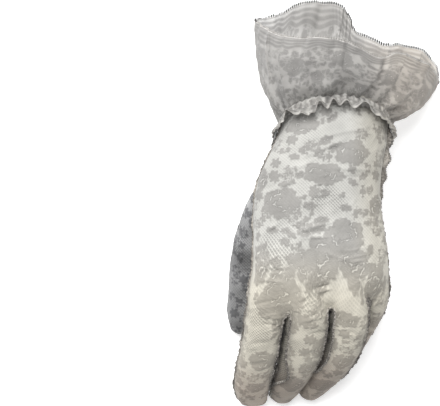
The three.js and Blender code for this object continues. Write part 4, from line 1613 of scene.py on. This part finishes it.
@dataclass
class SeamRidge:
    """Builds the raised ridge of cloth that a seam makes.

    Args:
        skin: the skin it stands on.
        normals: the skin's normals.
        calm: for each point of the skin, the share of the ridge's height that is left.
        height: how far the ridge stands up, in millimetres.
        half_width: of its foot.
        thread: half the thickness of the stitches over it.
        profile: its section, by shares of the half width and of the height.
        crests: the top line of each ridge that was built, what reaches its sides and its top, and where it shows.
    """

    skin: Surface
    normals: Array
    calm: Array
    height: float = 0.85
    half_width: float = 0.75
    thread: float = 0.15
    profile: list[tuple[float, float]] = field(default_factory=lambda: [
        (-1.0, -0.15), (-0.62, 0.35), (-0.3, 0.85), (0.0, 1.0), (0.3, 0.85), (0.62, 0.35), (1.0, -0.15)])
    crests: list[tuple[Array, ...]] = field(default_factory=list)

    def stitches(self) -> Surface:
        """A zigzag of thread over each ridge that was built."""
        points, quads, start, sides = [], [], 0, 4
        for crest, beside, up, shows in self.crests:
            k = np.arange(len(crest))
            lean = np.where(k % 2 == 0, 0.0, np.where(k % 4 == 1, 0.85, -0.85))[:, None]
            over = crest + beside * lean + up * (0.1 - 0.55 * np.abs(lean))
            along = unit(np.gradient(over, axis=0))
            tube = round_tube(over, unit(np.cross(along, up)), unit(up), self.thread, sides)
            points.append(tube.reshape(-1, 3))
            quads.append(grid_quads(len(crest), sides).reshape(-1, sides, 4)[shows[:-1]].reshape(-1, 4) + start)
            start += sides * len(crest)
        return Surface(np.vstack(points), np.vstack(quads)).without_loose_points()

    def build(self, paths: list[Array]) -> Surface:
        """One surface with a ridge along each path."""
        rng = np.random.default_rng(5)
        points, quads, start = [], [], 0
        rounds, shortest, pitch = 14, 6, 0.55
        for path in paths:
            line, normal = self.skin.points[path].copy(), self.normals[path].copy()
            for _ in range(rounds):
                line[1:-1] = (line[:-2] + 2 * line[1:-1] + line[2:]) / 4
                normal[1:-1] = (normal[:-2] + 2 * normal[1:-1] + normal[2:]) / 4
            run = run_along(line)
            if run[-1] < shortest:
                continue
            steps = np.arange(0, run[-1], pitch)
            line, normal = rows_at(steps, run, line), unit(rows_at(steps, run, normal))
            along = unit(np.gradient(line, axis=0))
            beside = unit(np.cross(normal, along))
            phase = rng.uniform(0, TURN, 4)
            pucker = (0.6 * np.sin(steps * 1.25 + phase[0] + 1.5 * np.sin(steps * 0.21 + phase[1]))
                      + 0.4 * np.sin(steps * 2.3 + phase[2] + np.sin(steps * 0.4)))
            slow = np.sin(steps * 0.37 + phase[3])
            loose = ramp(line[:, 0], 14, 20) * ramp(line[:, 1], -48, -30) * ramp(-line[:, 1], 4, 12)
            calm = np.interp(steps, run, self.calm[path])
            height = self.height * (1 + 0.35 * pucker * (1 - loose) + 0.2 * slow) * calm
            height = height + loose * (2.1 + 0.8 * np.sin(steps * 0.62 + phase[1]))
            width = self.half_width * (1 + 0.15 * slow) * (0.6 + 0.4 * calm) + 0.8 * loose
            sway = 0.22 * slow + 0.18 * pucker * (1 - loose) + loose * 0.8 * np.sin(steps * 0.5 + phase[2])
            ends = np.clip(np.minimum(steps, run[-1] - steps) / 1.5, 0.1, 1)
            shows, up = calm > 0.4, normal * (height * ends)[:, None]
            self.crests.append((line + beside * sway[:, None] + up, beside * width[:, None], up, shows))
            for across, rise in self.profile:
                shift = across * width + sway * max(rise, 0)
                points.append(line + beside * shift[:, None] + normal * (rise * height * ends)[:, None])
            count, rows = len(steps), len(self.profile)
            for row in range(rows - 1):
                here = start + row * count + np.flatnonzero(shows[:-1])
                quads.append(np.column_stack([here, here + 1, here + count + 1, here + count]))
            start += rows * count
        return Surface(np.vstack(points), np.vstack(quads)).without_loose_points()


@dataclass(frozen=True)
class Crease:
    """A fold down the cuff, by where it shows.

    Args:
        x: pixel across, near the rim.
        upper: True on the side that faces up.
        height: in millimetres.
        width: in radians round the wrist.
        doubled: how far the cloth goes back over itself. From 1 on it lies in three layers.
    """

    x: float
    upper: bool
    height: float
    width: float
    doubled: float = 0.0


CREASES = [Crease(*row) for row in (
    (340, False, 0.6, 0.035, 2.0), (345, False, 0.7, 0.03, 2.2), (350, False, 0.6, 0.03, 1.9),
    (300, False, 1.4, 0.09), (318, False, -0.7, 0.1), (276, False, 1.2, 0.08), (386, False, 1.2, 0.06, 0.8),
    (381, True, 1.3, 0.07, 1.4), (389, True, -1.0, 0.05, 0.8), (345, True, 0.7, 0.06, 0.6), (300, True, 1.3, 0.08),
    (283, True, -1.2, 0.06, 0.8), (322, True, -1.0, 0.07), (405, True, 1.2, 0.07, 0.9),
    (418, False, 1.2, 0.06, 0.9), (268, True, 0.9, 0.05, 1.2))]


# half the thickness of the edge cords, in millimetres
CORD_THICK = 0.16
# the cuff's loops: from one to the next, how far out, half the thread, and how much finer they are on top
LOOP_PITCH, LOOP_REACH, LOOP_THICK, LOOPS_FINER = 1.35, 1.9, 0.36, 0.45


@dataclass(frozen=True)
class CuffShape:
    """The flounce that stands out towards the arm.

    Args:
        round: points round it.
        rows: rows of quads down it.
        length: of the cloth from the wrist to the rim, in millimetres.
        rim: length of the cloth along the rim.
        inner: length of the cloth along the wrist; not used.
        bulge_thumb: how far it swells out on the thumb's side.
        bulge_little: the same on the little finger's side.
        bulge_over: the same on top and underneath.
        sag: how far the little finger's side sinks back.
        pleats: gathers at the wrist.
    """

    round: int = 760
    rows: int = 112
    length: float = 64.0
    rim: float = 356.0
    inner: float = 150.0
    bulge_thumb: float = 5.0
    bulge_little: float = 2.5
    bulge_over: float = 4.0
    sag: float = 4.0
    pleats: int = 41


def waves(turn: Array, *rows: Row) -> Array:
    """A sum of waves round the wrist that crowd together and spread out.

    Args:
        turn: round the wrist, in radians.
        rows: height, count, drift, how often it drifts, and phase of each wave.

    Returns:
        The sum at each turn.
    """
    return sum(high * np.sin(count * turn + drift * np.sin(slow * turn) + phase)
               for high, count, drift, slow, phase in rows)


def gathered_edge(turn: Array, along: float, gathers: int, depth: float) -> Array:
    """Where the flounce leaves the band, with its pleats."""
    outside = SEAM_GAP + WALL / 2 + depth * (1.2 + np.sin(gathers * turn + 1.6 * np.sin(3 * turn)))
    return WRIST.point(turn, outside, along)


class Cuff:
    """The flared cuff with its border, cords and loops."""

    def __init__(self, shape: CuffShape = CuffShape()) -> None:
        self.shape = shape
        table = np.array(CUFF_RIM, dtype=float)
        self.rim_curve = Spline(table[:, 1:4], closed=True)
        self.rim_angles = np.append(table[:, 0], 360.0)

    def rim_point(self, turn: Array) -> Array:
        """The rim at turns round the wrist."""
        angle = np.degrees(turn) % 360
        share = np.interp(angle, self.rim_angles, np.arange(len(self.rim_angles))) / (len(self.rim_angles) - 1)
        return self.rim_curve(share)

    def grid(self) -> Array:
        """The cuff's points, rows by columns by three."""
        s = self.shape
        even = ring_turns(s.round)
        share = np.linspace(0, 1, s.rows + 1)[:, None]
        shown = VIEW.pixels(self._plain(even[None], np.array([[0.85]]))[0])[:, 0]
        reach = np.sin(math.pi * np.clip(share * 0.62, 0, 0.9)) ** 1.3
        turn, lift = even[None] + 0 * share, 0 * share * even[None]
        for c in CREASES:
            side = np.sin(even) > 0.05 if c.upper else np.sin(even) < -0.05
            at = even[side][np.argmin(np.abs(shown[side] - c.x))]
            gap = ((even - at + math.pi) % math.tau - math.pi)[None] / c.width
            turn = turn - reach * c.doubled * c.width * gap * bell(gap, 1)
            if c.doubled > 1:
                lift = lift - 1.7 * c.height * reach * gap * np.exp(-0.7 * gap**2)
            else:
                lift = lift + c.height * reach * bell(gap, 1)
        grid = self._plain(turn, share)
        smooth = self._plain(even[None], share)
        across = np.roll(smooth, -1, axis=1) - np.roll(smooth, 1, axis=1)
        normal = unit(np.cross(across, np.gradient(smooth, axis=0)))
        t = even[None]
        pleat = self.pleat(t) * bell(share, 0.15) * 0.6
        fold = waves(t, (1.2, 17, 2, 2, 0.6), (0.9, 11, 1, 5, 4)) * bell(share - 0.2, 0.22)
        ruffle = waves(t, (0.6, 23, 1.2, 4, 0), (0.3, 37, 0, 0, 2)) * ramp(share, 0.6, 1)
        flat = smooth.reshape(-1, 3)
        soft = (0.5 * Ripple(8, 18)(flat) + 0.18 * Ripple(9, 6)(flat)).reshape(share.shape[0], -1)
        soft = soft * ramp(share, 0.02, 0.2)
        return grid + normal * (lift + pleat + fold + ruffle + soft)[..., None]

    def _plain(self, turn: Array, share: Array) -> Array:
        """The cuff without folds, at turns round the wrist and shares of its length."""
        s = self.shape
        turn, share = np.broadcast_arrays(turn, share)
        start = gathered_edge(turn.ravel(), FLOUNCE_START, s.pleats, 0.4).reshape(*turn.shape, 3)
        rim = self.rim_point(turn.ravel()).reshape(*turn.shape, 3)
        side, rise = np.cos(turn), np.sin(turn)
        bulge = np.where(side < 0, s.bulge_thumb, s.bulge_little)
        swell = np.stack([side * bulge, -s.sag * np.maximum(0, side) ** 2, rise * s.bulge_over], axis=-1)
        share = share[..., None]
        return start + (rim - start) * share + swell * (4 * share * (1 - share))

    def pleat(self, turn: Array) -> Array:
        """The gathers at the wrist, from -1 to 1."""
        return np.sin(self.shape.pleats * turn + 1.6 * np.sin(3 * turn)) * (0.65 + 0.35 * np.sin(5 * turn + 1))

    def pattern(self, uv: Array) -> LacePattern:
        """Two rows of large roses with leaves between them, and a corded border."""
        s = self.shape
        lace = LacePattern(uv, 51, around=s.rim)
        count = 9
        for i in range(count):
            u = s.rim * (i + 0.25) / count
            lace.spray(u, 38 + 4 * (-1) ** i, 10.5, 0.6 * i, 0.85, 5)
            lace.spray(u + s.rim / 2 / count, 17 + 3 * (-1) ** i, 8.0, 0.9 * i, 0.8, 4)
            lace.leaf(u + s.rim / 2 / count, 47, 9.0, 0.4 * i, 0.5)
        lace.fill(6.2)
        u = uv[:, 0] * math.tau / s.rim
        wave = waves(u, (1, 22, 1.3, 5, 0), (0.5, 9, 0, 0, 1))
        below = s.length - uv[:, 1]
        lines = [(0.3, 0.45, 0.0), (3.0, 0.85, 0.25), (5.8, 1.0, 0.6), (9.0, 1.25, 1.1)]
        border = np.maximum.reduce([half - np.abs(below - at - sway * wave) for at, half, sway in lines])
        edge = below < 10.8 + 1.2 * wave
        lace.woven = np.where(edge, border, lace.woven)
        lace.slit = np.where(edge, OUTSIDE, lace.slit)
        return lace

    def _tone(self, points: Array, turn: Array, share: Array) -> Array:
        """The share of each colour that is left, with painted shade and light worked in, and how closely gathered the
        cloth is.

        Args:
            points: of the cuff.
            turn: of each point, round the wrist.
            share: of each point, from the wrist to the rim.

        Returns:
            Four columns.
        """
        # darker near the wrist and down in the gathers: partly the gathered cloth, partly painted shade in the folds
        near = 1 - ramp(share, 0.04, 0.3)
        tone = 1 - 0.22 * near + 0.14 * near * self.pleat(turn) + 0.05 * Ripple(14, 16)(points)
        warm, shown = ramp(points[:, 0], 8, 40), VIEW.pixels(points)
        # painted highlights and shade in streaks over the bundled folds of the cuff's lower layer, where the cloth
        # also lies thicker
        bundle = (bell(shown[:, 0] - 345 - 0.12 * (shown[:, 1] - 30), 8) * ramp(share, 0.3, 0.5)
                  * ramp(-np.sin(turn), 0.0, 0.3))
        painted_streak = 0.5 + 0.5 * np.sin(shown[:, 0] * 1.9 + 0.5 * np.sin(shown[:, 1] * 0.2))
        # a painted pool of light on the cuff towards the little finger's side, and painted shade on the thumb's side
        # and near the rim, which the pool takes away
        lens = np.exp(-(((shown[:, 0] - 404) / 15) ** 2) - ((shown[:, 1] - 62) / 12) ** 2)
        shade = 0.11 * ramp(-points[:, 0], 12, 34) + 0.13 * ramp(share, 0.78, 0.88) * (1 - lens)
        tone = tone * (1 + 0.04 * warm + 0.25 * lens - shade) * (1 + bundle * (0.3 * painted_streak - 0.2))
        border = 0.1 * ramp(share, 0.78, 0.9)
        return np.column_stack([tone, tone * (1 - 0.06 * warm), tone * (1 - 0.13 * warm),
                                np.maximum.reduce([0.7 * near, border, 0.55 * bundle])])

    def build(self) -> None:
        """Makes the cuff, its edge cord and its loops."""
        s = self.shape
        grid = self.grid()
        share = np.repeat(np.linspace(0, 1, len(grid)), s.round)
        turn = np.tile(ring_turns(s.round), len(grid))
        surface, uv, corners = tube_sheet(grid, s.rim, s.length)
        lace = self.pattern(uv)
        colours = self._tone(surface.points, turn, share)
        obj = piece("cuff_lace", surface, lace_material(Finish.CUFF.value), corners,
                    (lace.woven, lace.slit, lace.clear, colours))
        ride_and_replace(obj, "lace_cuff", "flared_cuff")
        rim, outward, normal = edge_frame(grid)
        cord = piece("cuff_edge_cord", tube_along(rim, normal, outward, CORD_THICK),
                     thread_material("edge_cord", srgb(176, 173, 169), srgb(222, 219, 215), 1400))
        on_top = ramp(np.sin(turn[:s.round]), -0.02, 0.08)
        ahead = unit(np.roll(rim, -1, axis=0) - np.roll(rim, 1, axis=0))
        steep = ramp(np.abs(ahead[:, 2]), 0.35, 0.8)
        around = picots(rim, outward, normal, LOOP_PITCH, LOOP_REACH, LOOP_THICK,
                        1 - LOOPS_FINER * np.maximum(on_top, steep))
        near_rim = point_tree(rim)
        middles = around.points[around.quads].mean(1)
        high = np.array([on_top[near_rim.find(Vector(m))[1]] > 0.5 for m in middles])
        extras = [cord]
        # painted shade: the loops off the top side are a near-black copy of the grey loops on top
        for name, chosen, dark, light in (("cuff_loops_under", ~high, srgb(30, 29, 28), srgb(66, 64, 61)),
                                          ("cuff_loops_over", high, srgb(128, 125, 121), srgb(176, 173, 169))):
            extras.append(piece(name, around.cut(chosen)[0], thread_material(name, dark, light, 1400)))
        for extra in extras:
            ride_and_replace(extra, "lace_cuff")


def tube_sheet(grid: Array, around: float, length: float) -> tuple[Surface, Array, Array]:
    """Turns rows of points, closed round a tube, into a surface with a flat map.

    Args:
        grid: rows by columns by three.
        around: the flat length of a row, in millimetres.
        length: the flat length across the rows.

    Returns:
        The surface, the flat place of each point, and of each corner of each quad.
    """
    rows, columns = grid.shape[:2]
    quads = grid_quads(rows, columns)
    uv = np.column_stack([np.tile(np.arange(columns) * around / columns, rows),
                          np.repeat(np.linspace(0, length, rows), columns)])
    corners = uv[quads]
    u = corners[:, :, 0]
    corners[:, :, 0] = u + around * ((u.max(1) - u.min(1) > around / 2)[:, None] & (u < around / 2))
    return Surface(grid.reshape(-1, 3), quads), uv, corners


def edge_frame(grid: Array) -> tuple[Array, Array, Array]:
    """The last row of a grid, the way out past it and the cloth's normal there."""
    rim = grid[-1]
    outward = unit(grid[-1] - grid[-3])
    return rim, outward, unit(np.cross(np.roll(rim, -1, axis=0) - np.roll(rim, 1, axis=0), outward))


def tube_along(line: Array, one: Array, two: Array, radius: float, sides: int = 6) -> Surface:
    """A closed ring of round cord along a closed line."""
    points = round_tube(line, one, two, radius, sides)
    return Surface(points.reshape(-1, 3), grid_quads(len(line), sides, joined=True))


def picots(rim: Array, outward: Array, normal: Array, pitch: float, reach: float,
           thick: float, fine: Array) -> Surface:
    """Small loops of thread along a closed rim.

    Args:
        rim: points of the rim, in order.
        outward: the way each loop stands.
        normal: the cloth's normal there.
        pitch: from loop to loop, in millimetres.
        reach: how far a loop stands out.
        thick: half the thickness of its thread.
        fine: for each point of the rim, the share of the loops' size that is left.

    Returns:
        All the loops as one surface.
    """
    closed = np.vstack([rim, rim[:1]])
    run = run_along(closed)
    count, bends, sides = int(run[-1] / pitch), 7, 4
    at = (np.arange(count) + 0.5) * run[-1] / count
    out, up = [unit(rows_at(at, run, np.vstack([rows, rows[:1]]))) for rows in (outward, normal)]
    centre = rows_at(at, run, closed)
    along = unit(rows_at(at + 0.3, run, closed) - centre)
    fine = np.interp(at, run, np.append(fine, fine[0]))
    points = []
    for a in np.linspace(-0.25 * math.pi, 1.25 * math.pi, bends):
        spoke = along * math.cos(a) * 0.15 * pitch + out * ((0.45 + math.sin(a) * 0.55) * reach * fine)[:, None]
        radial = unit(along * math.cos(a) + out * math.sin(a))
        points.append(round_tube(centre + spoke, radial, up, (thick * fine)[:, None, None], sides))
    first = np.arange(count) * bends * sides
    quads = grid_quads(bends, sides)[:, None] + first[None, :, None]
    return Surface(np.array(points).transpose(1, 0, 2, 3).reshape(-1, 3), quads.reshape(-1, 4))


class WristGathers:
    """The gathered band and the short frill over the start of the hand."""

    columns = 720
    band_gathers, frill_gathers = 52, 31

    def build(self) -> None:
        """Makes both pieces and the frill's edge."""
        turn = ring_turns(self.columns)
        rows, phase = [], self.band_gathers * turn + 1.5 * np.sin(5 * turn)
        for along, outside in ((-2.6, 0.4), (-2.2, 1.1), (-1.2, 1.5), (0.0, 1.2), (1.2, 1.5), (2.4, 1.1), (3.6, 0.7)):
            rows.append(WRIST.point(turn, SEAM_GAP + outside + 0.2 * np.sin(phase + 0.8 * along), along))
        band = self._sheet("band_lace", np.array(rows), (200.0, 7.0), 61, ("gathered_band", "wrist_band"),
                           np.sin(phase))
        grid = self._frill(turn)
        pleats = np.sin(self.frill_gathers * turn + 1.6 * np.sin(3 * turn))
        frill = self._sheet("frill_lace", grid, (230.0, 8.0), 71, ("lace_frill", "wrist_frill"), pleats)
        edge, outward, normal = edge_frame(grid)
        cord = piece("frill_edge_cord", tube_along(edge, normal, outward, CORD_THICK),
                     thread_material("frill_edge", srgb(126, 123, 118), srgb(176, 173, 167), 1400))
        ride_and_replace(cord, "lace_frill")

    @staticmethod
    def _frill(turn: Array) -> Array:
        """The frill's rows, with seven places where its folds stand open."""
        out = unit(WRIST.point(turn, 1.0, 0.0) - WRIST.point(turn, 0.0, 0.0))
        strength = 0.75 + 0.35 * np.sin(4 * turn + 0.4)
        wave = waves(turn, (0.8, 17, 2.2, 3, 0.9), (0.5, 38, 1.4, 5, 1)) * strength
        dip = waves(turn, (0.7, 6, 2, 2, 0.5), (0.5, 15, 1, 3, 0), (0.35, 34, 2, 4, 0))
        opened = np.zeros_like(turn)
        for degrees, width in ((67, 7), (84, 4), (95, 5), (107, 3.5), (138, 5), (236, 8), (305, 8)):
            gap = (np.degrees(turn) - degrees + 180) % 360 - 180
            opened += bell(gap, width)
        rows = []
        for share in np.linspace(0, 1, 19):
            base = gathered_edge(turn, -2.2 - 5.2 * share, 47, 0.25 + 0.12 * share)
            lift = 1.1 * math.sin(math.pi * min(share * 0.8, 1)) + 0.15 + wave * share**0.8
            lift = lift + 3.4 * opened * math.sin(math.pi * min(share * 0.6, 1))
            back = (dip - 0.8 + 4.0 * opened) * share
            rows.append(base + out * np.maximum(lift, 0.1)[:, None] + WRIST.towards_arm * back[:, None])
        return np.array(rows)

    @staticmethod
    def _sheet(name: str, grid: Array, flat: tuple[float, float], seed: int, says: tuple[str, str],
               pleats: Array) -> bpy.types.Object:
        """Makes one gathered strip, with painted shade down in its pleats and towards its first row.

        Args:
            name: of the piece.
            grid: its rows of points.
            flat: width and length of its flat map, in millimetres.
            seed: for its pattern.
            says: its finish's slot, which is not used, and the node that it stands for.
            pleats: from -1 down in a pleat to 1 on top, along a row.

        Returns:
            The piece.
        """
        surface, uv, corners = tube_sheet(grid, *flat)
        lace = LacePattern(uv, seed, around=flat[0])
        lace.fill(5.5)
        down = np.repeat(np.linspace(0, 1, len(grid)), len(pleats))
        # painted shade: darker down in the pleats and towards the first row
        tone = (np.tile(0.76 + 0.2 * pleats, len(grid)) + 0.1 * Ripple(seed, 3)(surface.points)) * (0.8 + 0.25 * down)
        warm = ramp(surface.points[:, 0], 14, 28)
        colours = np.column_stack([tone, tone * (1 - 0.03 * warm), tone * (1 - 0.08 * warm), 0.3 + 0 * tone])
        obj = piece(name, surface, lace_material(Finish.FRILL.value), corners,
                    (lace.woven, lace.slit, lace.clear, colours))
        ride_and_replace(obj, says[0], says[1])
        return obj


# Stage


@dataclass(frozen=True)
class Stage:
    """The floor, the light and the camera.

    Args:
        floor: its height, in millimetres.
        key: power of the lamp, in watts.
        fill: strength of the light from all round.
        floor_glow: strength of the floor's own light.
        covered: metres over the floor within which the glove closes it in, where the floor's painted shadow falls.
    """

    floor: float = -48.6
    key: float = 15.0
    fill: float = 0.42
    floor_glow: float = 0.4
    covered: float = 0.05

    def build(self) -> None:
        """Makes them all."""
        scene = bpy.context.scene
        scene.view_settings.view_transform = "Standard"
        scene.view_settings.look = "None"
        scene.cycles.transparent_max_bounces = 32
        size = 1500.0
        corners = np.array([[-size, -size, self.floor], [size, -size, self.floor],
                            [size, size, self.floor], [-size, size, self.floor]])
        floor = link(make_mesh("floor", corners, [(0, 1, 2, 3)]), "floor")
        nb = NodeBuilder("floor")
        # painted shadow: the floor turns near-black where the glove closes it in, and its glow fades there too
        closed_in = nb.node("ShaderNodeAmbientOcclusion")
        closed_in.inputs["Distance"].default_value = self.covered
        lit = nb.step(closed_in.outputs["AO"], 0.04, 0.2)
        pale = nb.mix(nb.noise(4), (0.93, 0.93, 0.93), (0.96, 0.96, 0.96))
        nb.wire(nb.mix(lit, (0.08, 0.08, 0.08), pale), nb.shader.inputs["Base Color"])
        nb.shader.inputs["Roughness"].default_value = 0.9
        nb.shader.inputs["Emission Color"].default_value = (1.0, 1.0, 1.0, 1.0)
        nb.wire(nb.times(lit, self.floor_glow), nb.shader.inputs["Emission Strength"])
        floor.data.materials.append(nb.material)
        world = bpy.data.worlds.new("studio")
        scene.world = world
        world.use_nodes = True
        background = world.node_tree.nodes["Background"]
        background.inputs[0].default_value = (1.0, 1.0, 1.0, 1.0)
        background.inputs[1].default_value = self.fill
        self._area("above", (-190, 380, 830), 0.7, self.key)
        data = bpy.data.cameras.new("camera")
        data.sensor_fit = "HORIZONTAL"
        data.sensor_width = 36.0
        data.lens = 36.0 * VIEW.height * VIEW.pixels_per_mm / PHOTO_WIDTH
        data.clip_start, data.clip_end = 0.01, 10.0
        camera = bpy.data.objects.new("camera", data)
        camera.location = Vector((VIEW.x, VIEW.y, VIEW.height)) * MM
        scene.collection.objects.link(camera)
        scene.camera = camera

    @staticmethod
    def _area(name: str, place: tuple[float, float, float], size: float, power: float) -> None:
        """A round lamp of a size in metres, at a place in millimetres, that looks at the glove."""
        data = bpy.data.lights.new(name, "AREA")
        data.shape = "DISK"
        data.size = size
        data.energy = power
        light = bpy.data.objects.new(name, data)
        light.location = Vector(place) * MM
        light.rotation_euler = (Vector((0, -50, 0)) * MM - light.location).to_track_quat("-Z", "Y").to_euler()
        bpy.context.scene.collection.objects.link(light)


def main() -> None:
    """Builds the whole picture in order."""
    logging.basicConfig(level=logging.INFO, format="%(message)s")
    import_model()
    Stage().build()
    HandGlove().build()
    log.info("hand built")
    WristGathers().build()
    Cuff().build()
    log.info("cuff built")


if __name__ == "__main__":
    main()
